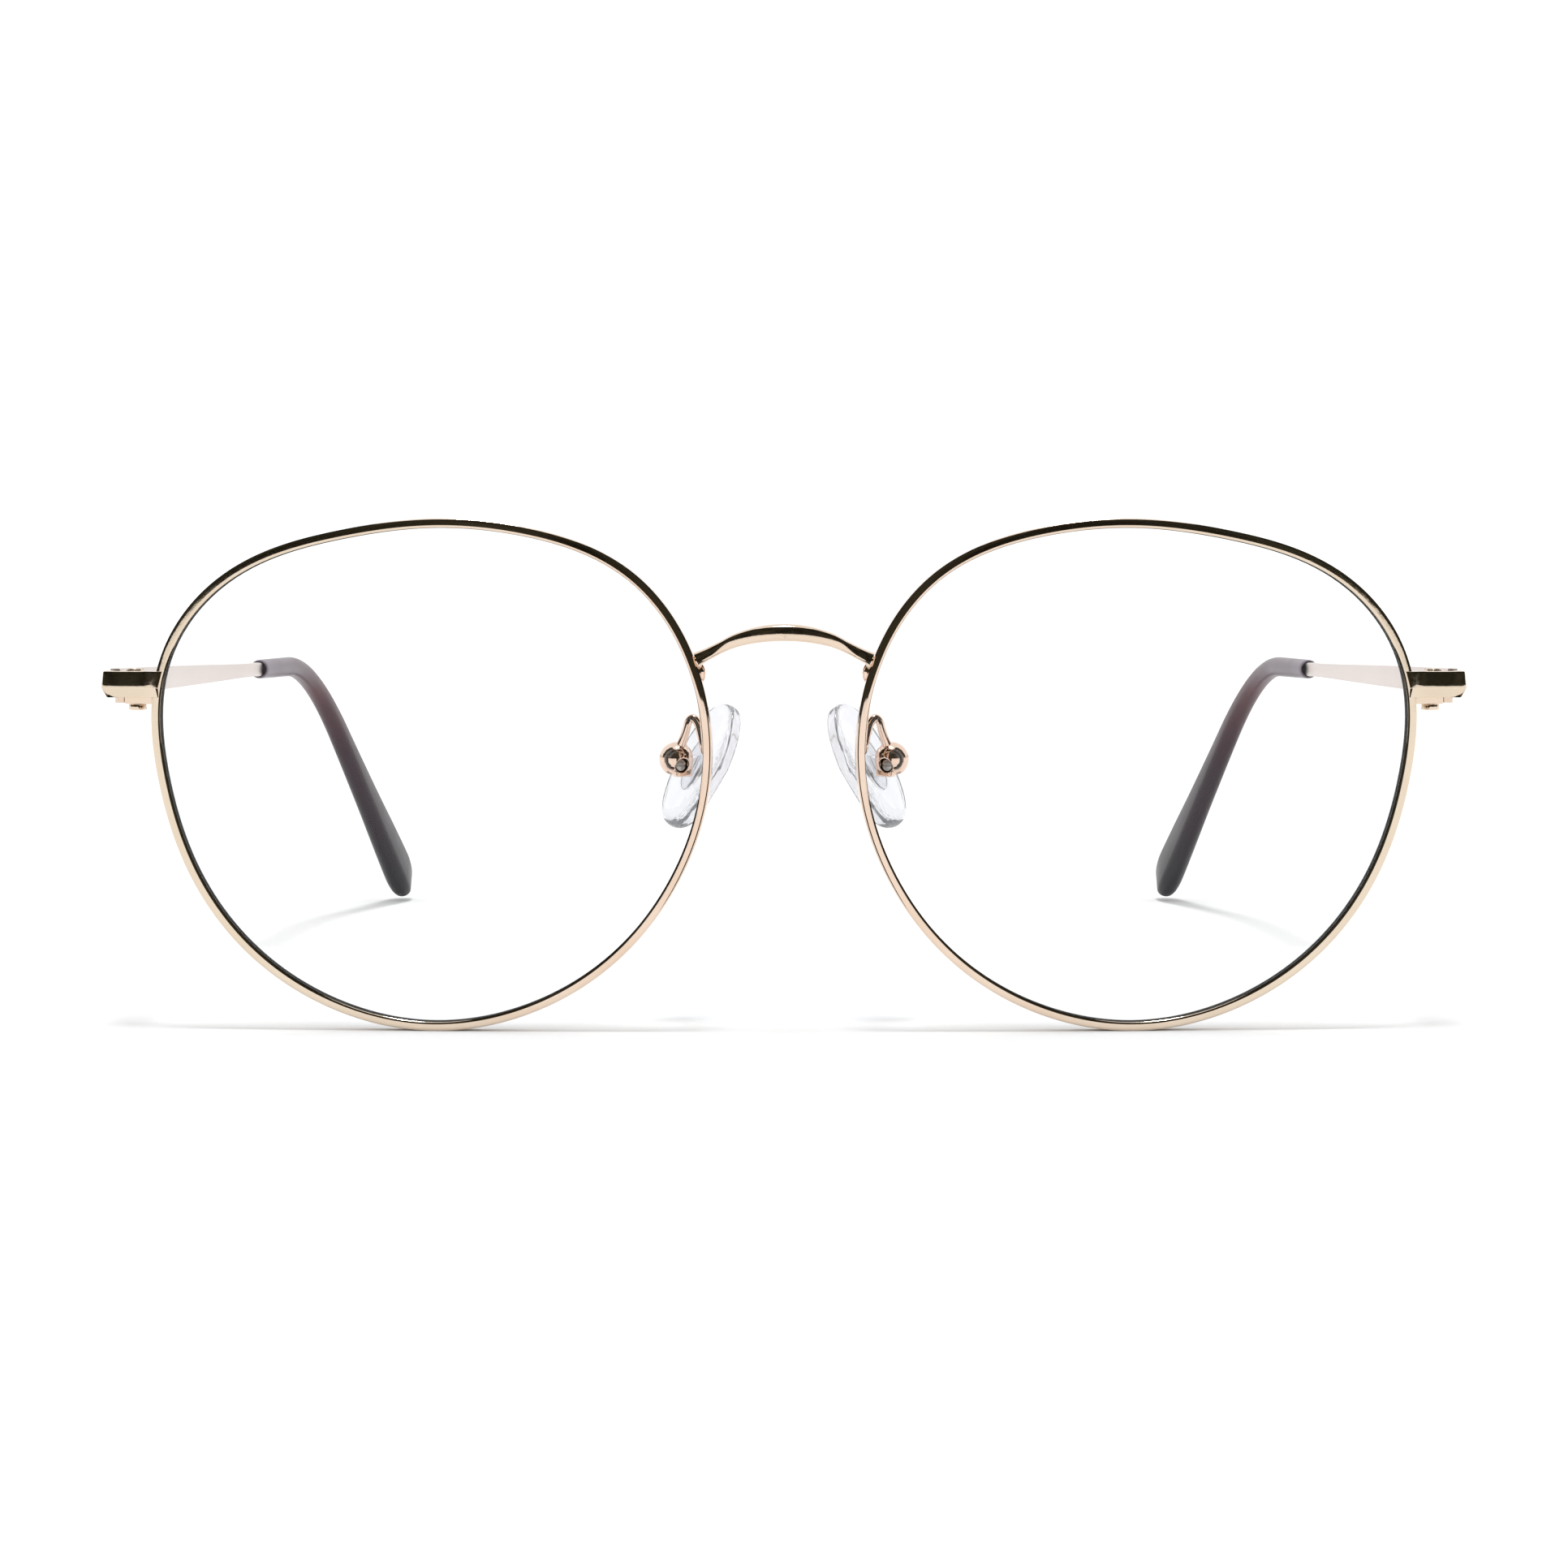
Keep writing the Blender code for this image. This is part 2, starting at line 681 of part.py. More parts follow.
def temple_tip():
    """Sleeve with an open bore for the core wire of the temple."""
    rings = [line_ring(CORE_END + BORE_END_CLEAR, STRIP_SECTIONS, BORE_CLEAR)]
    for distance in reversed(bend_distances(mouth_end(), CORE_END)):
        rings.append(line_ring(distance, STRIP_SECTIONS, BORE_CLEAR))
    mouth = SLEEVE_SECTIONS[0][0]
    round_bore = (MOUTH_BORE, MOUTH_BORE, 0.5 * MOUTH_BORE)
    opening = ((mouth, *round_bore), (mouth + 1.0, *round_bore))
    rings.append(line_ring(mouth, opening, 0.0))
    outer = set(bend_distances(mouth, LINE_LENGTHS[-1])[1:-1])
    outer.update(row[0] for row in SLEEVE_SECTIONS)
    last = SLEEVE_SECTIONS[-1][0]
    for distance in sorted(d for d in outer if d <= last):
        rings.append(line_ring(distance, SLEEVE_SECTIONS, 0.0))
    return lofted(rings)


# pad assembly frame: X away from the nose, Y along the pad screw, Z up
PAD_FRAME = Matrix.Translation(PAD_AXIS) @ Matrix.Rotation(-PAD_SPLAY, 4, "Z")
# the pad's own frame: X away from the nose, Y front to back, Z along the pad
PAD_CENTRE = PAD_FRAME @ Matrix.Rotation(-PAD_TILT, 4, "Y") @ Matrix.Translation(
    (-PAD_STANDOFF, 0.0, PAD_RISE))


def pad_pocket(grow, depth):
    thick, wide, long = INSERT_PLATE
    outline = []
    for i in range(20):
        angle = 2.0 * math.pi * i / 20
        outline.append(((0.5 * long + grow) * math.cos(angle), (0.5 * wide + grow) * math.sin(angle)))
    mesh = plate(outline, 0.5 * PAD_THICK - depth, 0.5 * PAD_THICK + (1.0 if grow > 0.0 else -GAP))
    mesh.transform(Matrix.Rotation(math.radians(90.0), 4, "Y"))
    return mesh


def nose_pad():
    work = bmesh.new()
    bmesh.ops.create_uvsphere(work, u_segments=28, v_segments=16, radius=1.0)
    for vert in work.verts:
        wide = math.copysign(abs(vert.co.y) ** 0.9, vert.co.y)
        flat = math.copysign(abs(vert.co.x) ** 0.75, vert.co.x)
        if vert.co.x > 0.0:
            flat = min(flat, 0.86) / 0.86
        belly = 1.0 - 0.06 * vert.co.z
        vert.co.x = 0.5 * PAD_THICK * flat
        vert.co.y = 0.5 * PAD_WIDTH * wide * belly
        vert.co.z = 0.5 * PAD_LENGTH * vert.co.z
    mesh = bpy.data.meshes.new("pad")
    work.to_mesh(mesh)
    work.free()
    mesh = combined(tidy_mesh(mesh), [pad_pocket(GAP, PAD_POCKET_DEPTH)], "DIFFERENCE")
    mesh.transform(PAD_CENTRE)
    return mesh


def pad_insert():
    oval = pad_pocket(0.0, PAD_POCKET_DEPTH - GAP)
    oval.transform(PAD_CENTRE)
    base = 0.5 * PAD_THICK - PAD_POCKET_DEPTH + 2.0 * GAP
    outline = []
    for i in range(13):
        angle = math.radians(-90.0 + 180.0 * i / 12)
        outline.append((LUG_R * math.cos(angle), LUG_R * math.sin(angle)))
    tab = plate(outline + [(-1.2, LUG_R), (-1.2, -LUG_R)], -0.5 * LUG_THICK, 0.5 * LUG_THICK)
    tab.transform(Matrix.Rotation(math.radians(90.0), 4, "X"))
    tab.transform(PAD_FRAME @ Matrix.Rotation(-0.05, 4, "Y"))
    back = PAD_STANDOFF - base
    neck = []
    for x, z in ((-back, PAD_RISE - LUG_NECK), (-back, PAD_RISE + LUG_NECK), (-0.9, LUG_R * 0.95),
                 (-0.9, -LUG_R * 0.75)):
        neck.append((x, z))
    shank = plate(neck, -0.49 * LUG_THICK, 0.49 * LUG_THICK)
    shank.transform(Matrix.Rotation(math.radians(90.0), 4, "X"))
    shank.transform(PAD_FRAME @ Matrix.Rotation(-PAD_TILT, 4, "Y"))
    mesh = combined(oval, [shank, tab], "UNION")
    bore = cylinder(LUG_BORE_R, -2.0, 2.0, SCREW_SEGMENTS,
                    PAD_FRAME @ Matrix.Rotation(math.radians(90.0), 4, "X"))
    return combined(mesh, [bore], "DIFFERENCE")


def pad_box():
    work = bmesh.new()
    bmesh.ops.create_uvsphere(work, u_segments=24, v_segments=14, radius=BOX_BALL_R)
    bmesh.ops.translate(work, verts=work.verts, vec=BOX_BALL_CENTRE)
    ball = bpy.data.meshes.new("ball")
    work.to_mesh(ball)
    work.free()
    ball = combined(tidy_mesh(ball), [box((-4.0, -4.0, -4.0), (BOX_BLOCK[0][0], 4.0, 4.0))],
                    "DIFFERENCE")
    block = bevelled(box(BOX_BLOCK[0], BOX_BLOCK[1]), 0.3, 2)
    block.transform(Matrix.Translation((-0.004, 0.0, 0.0)))
    mesh = combined(ball, [block], "UNION")
    slot = box((BOX_SLOT[0][0], -BOX_SLOT_HALF, BOX_SLOT[1][0]),
               (BOX_SLOT[0][1], BOX_SLOT_HALF, BOX_SLOT[1][1]))
    along = Matrix.Rotation(math.radians(-90.0), 4, "X")
    counter = cylinder(COUNTERBORE_R, -3.0, COUNTERBORE_Y, SCREW_SEGMENTS, along)
    bore = cylinder(LUG_BORE_R, -2.5, 3.0, SCREW_SEGMENTS, along)
    mesh = combined(mesh, [slot, counter, bore], "DIFFERENCE")
    mesh.transform(PAD_FRAME)
    return mesh


def pad_screw():
    profile = (
        (0.0, PAD_SHANK_END), (PAD_SHANK_R - 0.1, PAD_SHANK_END),
        (PAD_SHANK_R, PAD_SHANK_END - 0.1), (PAD_SHANK_R, PAD_HEAD_Y[1]),
        (PAD_HEAD_R, PAD_HEAD_Y[1]), (PAD_HEAD_R, PAD_HEAD_Y[0] + 0.1),
        (PAD_HEAD_R - 0.1, PAD_HEAD_Y[0]), (0.0, PAD_HEAD_Y[0]),
    )
    mesh = turned(profile, SCREW_SEGMENTS)
    slot = box((-1.2, -0.1, PAD_HEAD_Y[0] - 0.5), (1.2, 0.1, PAD_HEAD_Y[0] + 0.2))
    mesh = combined(mesh, [slot], "DIFFERENCE")
    mesh.transform(PAD_FRAME @ Matrix.Rotation(math.radians(-90.0), 4, "X"))
    return mesh


def pad_arm():
    ball = PAD_FRAME @ BOX_BALL_CENTRE
    near = Vector(ARM_POINTS[-1])
    end = ball + (near - ball).normalized() * (BOX_BALL_R + GAP)
    knots = [Vector(point) for point in ARM_POINTS]
    knots.append(end)
    first = knots[0] + (knots[0] - knots[1])
    last = knots[-1] + (knots[-1] - knots[-2])
    chain = [first] + knots + [last]
    points = []
    for a, b, c, d in zip(chain, chain[1:], chain[2:], chain[3:]):
        for i in range(ARM_STEPS):
            t = i / ARM_STEPS
            points.append(0.5 * (2.0 * b + (c - a) * t
                                 + (2.0 * a - 5.0 * b + 4.0 * c - d) * t ** 2
                                 + (3.0 * b - 3.0 * c + d - a) * t ** 3))
    points.append(knots[-1])
    return wire(points, ARM_WIRE_R)


def finish(name, mesh, material, origin):
    """Named node in metres with its origin where the piece turns or sits."""
    shift = Vector((0.0, -MID_DEPTH, 0.0))
    place = origin + shift
    mesh.transform(Matrix.Translation(shift - place))
    mesh.transform(Matrix.Scale(MM, 4))
    mesh.materials.clear()
    mesh.materials.append(material)
    mesh.name = name
    item = bpy.data.objects.new(name, mesh)
    item.location = place * MM
    parts.objects.link(item)


def mirrored(mesh):
    copy = mesh.copy()
    copy.transform(Matrix.Scale(-1.0, 4, (1.0, 0.0, 0.0)))
    copy.flip_normals()
    return copy


def pair(name, mesh, material, origin):
    """A piece for the wearer's left side and its mirror image for the right."""
    other = mirrored(mesh)
    finish(name + "_left", mesh, material, origin)
    finish(name + "_right", other, material, Vector((-origin.x, origin.y, origin.z)))


clear_scene()
parts = new_collection(OBJECT)
guides = new_collection("guides")
shades = {name: make_material(name) for name in MATERIALS}

lens_centre = Vector((RIM_CENTRE_X, 0.0, RIM_CENTRE_Z))
hinge_axis = Vector((HINGE_X, HINGE_Y, 0.5 * (MIDDLE_BARREL[0] + MIDDLE_BARREL[1])))
lock_axis = Vector((LOCK_SCREW_X, LOCK_SCREW_Y, BLOCK_LOWER_Z[0]))
end_corner = Vector((END_OUTLINE[0][0], END_OUTLINE[0][1], END_LOW))
arm_foot = Vector(ARM_POINTS[0])

finish("bridge", bridge(), shades["rose_gold"], Vector(BRIDGE_STATIONS[0][:3]))
pair("rim", rim(), shades["champagne_gold"], lens_centre)
pair("lens", lens(), shades["clear_lens"], lens_centre)
pair("end_piece", end_piece(), shades["champagne_gold"], end_corner)
pair("lock_block_upper", lock_block(BLOCK_UPPER_Z), shades["champagne_gold"], lock_axis)
pair("lock_block_lower", lock_block(BLOCK_LOWER_Z), shades["champagne_gold"], lock_axis)
pair("lock_screw", lock_screw(), shades["rose_gold"], lock_axis)
pair("front_hinge", front_hinge(), shades["champagne_gold"], hinge_axis)
pair("hinge_screw", hinge_screw(), shades["steel"], hinge_axis)
pair("temple_hinge", temple_hinge(), shades["brushed_strip"], hinge_axis)
pair("temple", temple(), shades["brushed_strip"], hinge_axis)
pair("temple_tip", temple_tip(), shades["smoky_acetate"], hinge_axis)
pair("pad_arm", pad_arm(), shades["rose_gold"], arm_foot)
pair("pad_box", pad_box(), shades["rose_gold"], PAD_AXIS)
pair("pad_screw", pad_screw(), shades["steel"], PAD_AXIS)
pair("pad_insert", pad_insert(), shades["clear_insert"], PAD_AXIS)
pair("nose_pad", nose_pad(), shades["clear_silicone"], PAD_AXIS)
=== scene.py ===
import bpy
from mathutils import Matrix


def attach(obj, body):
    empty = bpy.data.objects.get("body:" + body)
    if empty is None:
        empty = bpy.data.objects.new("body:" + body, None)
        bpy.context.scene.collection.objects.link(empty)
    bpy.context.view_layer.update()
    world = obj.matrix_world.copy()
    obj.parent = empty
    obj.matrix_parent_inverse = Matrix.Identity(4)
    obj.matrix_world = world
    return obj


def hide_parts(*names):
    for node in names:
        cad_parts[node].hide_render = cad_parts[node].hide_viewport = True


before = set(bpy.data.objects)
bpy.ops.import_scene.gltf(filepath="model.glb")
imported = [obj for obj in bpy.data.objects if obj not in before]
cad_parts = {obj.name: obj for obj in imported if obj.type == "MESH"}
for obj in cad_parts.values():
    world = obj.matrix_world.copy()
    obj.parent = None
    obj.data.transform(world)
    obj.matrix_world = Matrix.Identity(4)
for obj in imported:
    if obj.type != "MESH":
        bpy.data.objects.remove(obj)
"""Looks for metal eyeglasses with clear lenses, silicone pads and smoky temple tips.

Shapes are made in millimetres with y = 0 at the front of the rims, on the
wearer's left side (+X), and mirrored for the right side.  Each piece is then
moved to metres in the frame's own coordinates.
"""
import math

import bmesh
import bpy
import numpy as np
from mathutils import Matrix, Vector

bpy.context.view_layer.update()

MM = 0.001
MID_DEPTH = 66.70
FRONT_BODY = "front"

# ---------------------------------------------------------------- dimensions
RIM_RADII = (27.3, 29.3, 28.5, 26.0, 25.35, 26.4, 28.4, 28.55,
             27.75, 26.7, 26.0, 25.55, 25.4, 25.3, 25.55, 26.1)
RIM_CENTRE_X = 35.0
RIM_CENTRE_Z = 25.4
RIM_WRAP = math.radians(3.0)
LENS_CURVE_R = 300.0
RIM_STATIONS = 360
RIM_WALL = 0.88
RIM_DEPTH = 1.8
RIM_CROWN = 0.13
RIM_CROWN_POWER = 5.0
RIM_LEAN_MOST = 0.26
RIM_TILT_UP = 0.13
RIM_LEAN_START = 0.12
RIM_LEAN_SPAN = 0.24
GROOVE_DEPTH = 0.38
GROOVE_HALF_WIDTH = 0.45
SPLIT_ANGLE = 17.35
SPLIT_HALF_GAP = 0.06
RIM_FRONT_CORNER = 0.13
RIM_BACK_CORNER = 0.16
RIM_FACE_STEPS = 14
GROOVE_LIP = 0.04

LENS_FRONT = 0.36
LENS_BACK = 1.60
LENS_CLEAR = 0.035
LENS_BEVEL_INSET = 0.09
LENS_FACE_LIMIT = 0.8
LENS_RING_SCALES = (0.1, 0.2, 0.3, 0.4, 0.5, 0.6, 0.7, 0.8, 0.9)

# bridge arch: x, centre depth, centre height, section height, section depth
BRIDGE_STATIONS = (
    (0.0, -0.25, 39.60, 1.70, 1.85),
    (1.6, -0.22, 39.52, 1.66, 1.82),
    (3.2, -0.10, 39.25, 1.52, 1.72),
    (4.8, 0.12, 38.79, 1.34, 1.58),
    (6.2, 0.38, 38.14, 1.15, 1.46),
    (7.2, 0.58, 37.64, 1.18, 1.42),
    (8.0, 0.70, 37.24, 1.26, 1.46),
    (8.62, 0.74, 36.94, 1.42, 1.54),
)

BRIDGE_LEAN = 0.09
BRIDGE_END_LEAN = 0.30
BRIDGE_END_START = 5.0
BRIDGE_END_SPAN = 2.2
BRIDGE_SQUARENESS = 3.2
BEAD_R = 0.62
BEAD_CENTRE = (8.52, 0.92, 36.72)
BEAD_SCALE = (0.9, 1.05, 1.0)

END_LOW = 33.05
WEB_AT_LOW = 0.10
WEB_SLOPE = 0.135
WEB_START_X = 63.4
WEB_REACH = 1.1
BLOCK_X = (62.80, 65.55)
BLOCK_Y = (3.90, 5.40)
BLOCK_UPPER_Z = (34.00, 35.45)
BLOCK_LOWER_Z = (32.36, 33.78)
LOCK_SCREW_X = 64.35
LOCK_SCREW_Y = 4.66
LOCK_BORE_R = 0.56
LOCK_BORE_Z = (31.0, 35.08)
BLOCK_ROUND = 0.16
BLOCK_WRAP_X = 63.7
BLOCK_WRAP_REACH = 0.9
THREAD_PITCH = 0.25
THREAD_DEPTH = 0.055
HINGE_X = 65.08
HINGE_Y = 7.6
HINGE_HEAD = (35.43, 35.74)

TEMPLE_START = Vector((66.90, 6.66, 34.44))
TEMPLE_CORNER = Vector((58.89, 104.2, 32.05))
TEMPLE_END = Vector((49.85, 133.4, 1.60))
BEND_REACH = 13.0
# distance along the temple, thickness, height, corner radius
STRIP_SECTIONS = (
    (0.0, 1.00, 2.66, 0.16),
    (24.4, 0.95, 2.30, 0.16),
    (44.0, 0.91, 1.90, 0.17),
    (63.4, 0.88, 1.52, 0.18),
    (67.0, 0.88, 1.60, 0.18),
    (68.3, 0.88, 1.48, 0.20),
    (70.0, 0.86, 1.24, 0.30),
    (97.0, 0.86, 1.16, 0.33),
    (126.0, 0.86, 1.10, 0.36),
)
CORE_END = 124.0
MOUTH = 68.3
MOUTH_DEPTH = 1.6
SLEEVE_SECTIONS = (
    (68.3, 1.96, 2.00, 0.96),
    (68.42, 2.06, 2.12, 1.01),
    (68.9, 2.13, 2.19, 1.04),
    (76.0, 2.16, 2.25, 1.06),
    (84.0, 2.18, 2.30, 1.07),
    (98.0, 2.24, 2.50, 1.10),
    (110.0, 2.34, 3.20, 1.15),
    (122.0, 2.49, 4.38, 1.22),
    (131.0, 2.73, 5.56, 1.34),
    (136.0, 2.83, 5.96, 1.38),
    (137.7, 2.62, 5.60, 1.28),
    (138.9, 2.16, 4.70, 1.05),
    (139.5, 1.56, 3.60, 0.76),
    (139.78, 0.90, 2.30, 0.44),
)

PAD_SPLAY = math.radians(36.0)
PAD_TILT = math.radians(29.0)
PAD_AXIS = Vector((11.1, 8.8, 26.0))
PAD_STANDOFF = 3.3
PAD_RISE = 1.45
PAD_LENGTH = 13.8
PAD_WIDTH = 7.9
PAD_THICK = 2.2
PAD_TUCK = 0.13
PAD_SIDE_POWER = 0.86
PAD_FACE_POWER = 0.75
PAD_END_POWER = 0.9
PAD_BACK_FLATNESS = 2.2
PAD_TAPER = 0.06
PAD_POCKET_DEPTH = 0.55
INSERT_WIDE = 3.2
INSERT_LONG = 6.2
GAP = 0.05
LUG_THICK = 1.0
LUG_R = 0.85
LUG_BORE_R = 0.56
BOX_BALL_R = 1.76
BOX_BALL_CENTRE = Vector((-0.28, -0.09, 0.54))
BOX_BLOCK = ((-1.385, -1.43, -1.18), (0.55, 0.40, 0.85))
BOX_BALL_CUT = ((-4.0, -4.0, -4.0), (-1.38, 4.0, 4.0))
BOX_SLOT = ((-2.6, -0.56, -2.2), (0.98, 0.56, 1.25))
BOX_HEAD_BORE = ((0.72, 3.0), (0.72, 0.74))
BOX_GRAIN = 0.055
ARM_WIRE_R = 0.43
ARM_WIRE_SLIM = 0.985
FOOT_R = 0.9
FOOT_CENTRE = (8.40, 2.18, 35.50)
FOOT_SCALE = (0.74, 0.62, 1.24)
ARM_POINTS = (
    (8.60, 2.26, 36.0), (8.40, 2.28, 34.8), (8.24, 2.60, 33.2), (8.02, 3.10, 31.4),
    (7.86, 3.70, 29.6), (7.80, 4.35, 28.2), (7.88, 5.15, 27.6), (8.04, 5.95, 28.1),
    (8.30, 6.50, 29.2), (8.66, 6.95, 30.3), (9.14, 7.25, 30.78), (9.58, 7.60, 30.40),
    (9.86, 8.00, 29.40),
)

# studio, in metres
FLOOR_HALF = 6.0
FRONT_Y = -MID_DEPTH * MM
# radius and height of the dark surround in front of the glasses, with a pale gap under it
WALL_LEVELS = ((0.80, 0.10), (0.80, 0.45), (0.62, 0.85), (0.36, 1.05))
WALL_REACH = 108.0
WALL_STEPS = 36
DIVIDER_NEAR = 0.012
DIVIDER_FAR = 0.42
DIVIDER_TOP = 0.12
WORLD_LIGHT = 1.06
SUN_LIGHT = 1.6
SUN_WIDTH = math.radians(10.0)
SUN_TILT = math.radians(2.0)
CAMERA_PLACE = (0.0, -0.4667, 0.0532)
CAMERA_PITCH = math.radians(85.92)
CAMERA_LENS = 93.4

# ---------------------------------------------------------------- mesh helpers


def mesh_from(work, name):
    bmesh.ops.remove_doubles(work, verts=work.verts, dist=0.0002)
    bmesh.ops.recalc_face_normals(work, faces=work.faces)
    if work.calc_volume(signed=True) < 0.0:
        bmesh.ops.reverse_faces(work, faces=work.faces)
    mesh = bpy.data.meshes.new(name)
    work.to_mesh(mesh)
    work.free()
    return mesh


def modified(mesh, name, kind, **settings):
    """Mesh with one modifier applied."""
    item = bpy.data.objects.new("work", mesh)
    bpy.context.scene.collection.objects.link(item)
    step = item.modifiers.new(name, kind)
    for key, value in settings.items():
        setattr(step, key, value)
    graph = bpy.context.evaluated_depsgraph_get()
    result = bpy.data.meshes.new_from_object(item.evaluated_get(graph))
    bpy.data.objects.remove(item)
    return result


def joined(mesh, other, operation):
    tool = bpy.data.objects.new("tool", other)
    bpy.context.scene.collection.objects.link(tool)
    result = modified(mesh, "Boolean", "BOOLEAN", operation=operation, solver="EXACT", object=tool)
    bpy.data.objects.remove(tool)
    return result


def softened(mesh, width, segments=3):
    return modified(mesh, "Bevel", "BEVEL", width=width, segments=segments,
                    limit_method="ANGLE", angle_limit=math.radians(38.0))


def cast(mesh, grain, passes):
    """Even small faces with softened edges, as a cast and polished part has."""
    mesh = modified(mesh, "Remesh", "REMESH", mode="VOXEL", voxel_size=grain)
    return modified(mesh, "Smooth", "SMOOTH", factor=0.5, iterations=passes)


def lofted(rings, name="loft"):
    work = bmesh.new()
    loops = [[work.verts.new(point) for point in ring] for ring in rings]
    for near, far in zip(loops, loops[1:]):
        for i in range(len(near)):
            j = (i + 1) % len(near)
            work.faces.new((near[i], near[j], far[j], far[i]))
    work.faces.new(loops[0])
    work.faces.new(loops[-1])
    return mesh_from(work, name)


def block(low, high):
    work = bmesh.new()
    bmesh.ops.create_cube(work, size=1.0)
    for vert in work.verts:
        for axis in range(3):
            middle = 0.5 * (low[axis] + high[axis])
            vert.co[axis] = middle + vert.co[axis] * (high[axis] - low[axis])
    return mesh_from(work, "block")


def ball(radius, centre, scale=(1.0, 1.0, 1.0)):
    work = bmesh.new()
    bmesh.ops.create_uvsphere(work, u_segments=40, v_segments=24, radius=radius)
    for vert in work.verts:
        vert.co = Vector(a * b for a, b in zip(vert.co, scale)) + Vector(centre)
    return mesh_from(work, "ball")


def prism(outline, low, high):
    """Plan outline pulled up from low to high."""
    return lofted([[(x, y, low) for x, y in outline], [(x, y, high) for x, y in outline]])


def turned(profile, segments=48):
    """Turned solid about Z from radius and height pairs, top to bottom."""
    rings = []
    for radius, height in profile:
        ring = []
        for i in range(segments):
            angle = 2.0 * math.pi * i / segments
            ring.append((radius * math.cos(angle), radius * math.sin(angle), height))
        rings.append(ring)
    return lofted(rings, "turned")


def moved(mesh, matrix):
    mesh.transform(matrix)
    return mesh


def smooth_between(a, b, c, d, t):
    """Catmull-Rom point between b and c."""
    return 0.5 * (2.0 * b + (c - a) * t + (2.0 * a - 5.0 * b + 4.0 * c - d) * t ** 2
                  + (3.0 * b - 3.0 * c + d - a) * t ** 3)


def smooth_chain(points, steps):
    knots = [Vector(point) for point in points]
    chain = [2.0 * knots[0] - knots[1]] + knots + [2.0 * knots[-1] - knots[-2]]
    out = []
    for a, b, c, d in zip(chain, chain[1:], chain[2:], chain[3:]):
        out.extend(smooth_between(a, b, c, d, i / steps) for i in range(steps))
    out.append(knots[-1])
    return out


def table_value(table, at):
    """Row of a table at a distance, with slopes that never overshoot."""
    keys = [row[0] for row in table]
    at = min(max(at, keys[0]), keys[-1])
    i = max(k for k in range(len(keys) - 1) if keys[k] <= at)
    span = keys[i + 1] - keys[i]
    t = (at - keys[i]) / span
    values = []
    for column in range(1, len(table[0])):
        gap = table[i + 1][column] - table[i][column]
        slopes = []
        for k in (i, i + 1):
            before = None if k == 0 else (
                (table[k][column] - table[k - 1][column]) / (keys[k] - keys[k - 1]))
            after = None if k == len(keys) - 1 else (
                (table[k + 1][column] - table[k][column]) / (keys[k + 1] - keys[k]))
            if before is None or after is None:
                slopes.append(gap / span)
            elif before * after <= 0.0:
                slopes.append(0.0)
            else:
                slopes.append(2.0 * before * after / (before + after))
        h1 = t ** 3 - 2.0 * t ** 2 + t
        h2 = t ** 3 - t ** 2
        values.append(table[i][column] + gap * (3.0 * t ** 2 - 2.0 * t ** 3)
                      + span * (slopes[0] * h1 + slopes[1] * h2))
    return values


def rounded_section(thick, tall, corner, arc=7):
    points = []
    for quarter in range(4):
        sx = 1.0 if quarter in (0, 3) else -1.0
        sz = 1.0 if quarter in (0, 1) else -1.0
        centre_x = sx * (0.5 * thick - corner)
        centre_z = sz * (0.5 * tall - corner)
        for step in range(arc):
            angle = math.radians(90.0 * quarter + 90.0 * (step + 0.5) / arc)
            points.append((centre_x + corner * math.cos(angle),
                           centre_z + corner * math.sin(angle)))
    return points


def crowned_section(thick, tall, power, count=40):
    """Soft squarish oval."""
    points = []
    for i in range(count):
        angle = 2.0 * math.pi * i / count
        c = math.cos(angle)
        s = math.sin(angle)
        points.append((0.5 * thick * math.copysign(abs(c) ** (2.0 / power), c),
                       0.5 * tall * math.copysign(abs(s) ** (2.0 / power), s)))
    return points


# ---------------------------------------------------------------- placing pieces


def place(name, mesh, material, body, nodes, sharp=40.0):
    """Finished piece in metres, riding on its body in place of its CAD nodes."""
    mesh.transform(Matrix.Scale(MM, 4) @ Matrix.Translation((0.0, -MID_DEPTH, 0.0)))
    mesh.materials.clear()
    mesh.materials.append(material)
    mesh.shade_smooth()
    mesh.set_sharp_from_angle(angle=math.radians(sharp))
    mesh.name = name
    item = bpy.data.objects.new(name, mesh)
    bpy.context.scene.collection.objects.link(item)
    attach(item, body)
    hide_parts(*nodes)
    return item


def place_pair(name, mesh, material, body, sharp=40.0):
    """The piece on the wearer's left and its mirror image on the right."""
    other = mesh.copy()
    other.transform(Matrix.Scale(-1.0, 4, (1.0, 0.0, 0.0)))
    other.flip_normals()
    for side, shape in (("left", mesh), ("right", other)):
        rides = FRONT_BODY if body == FRONT_BODY else body.replace("SIDE", side)
        place(f"{name}_{side}_detail", shape, material, rides, [f"{name}_{side}"], sharp)


# ---------------------------------------------------------------- materials


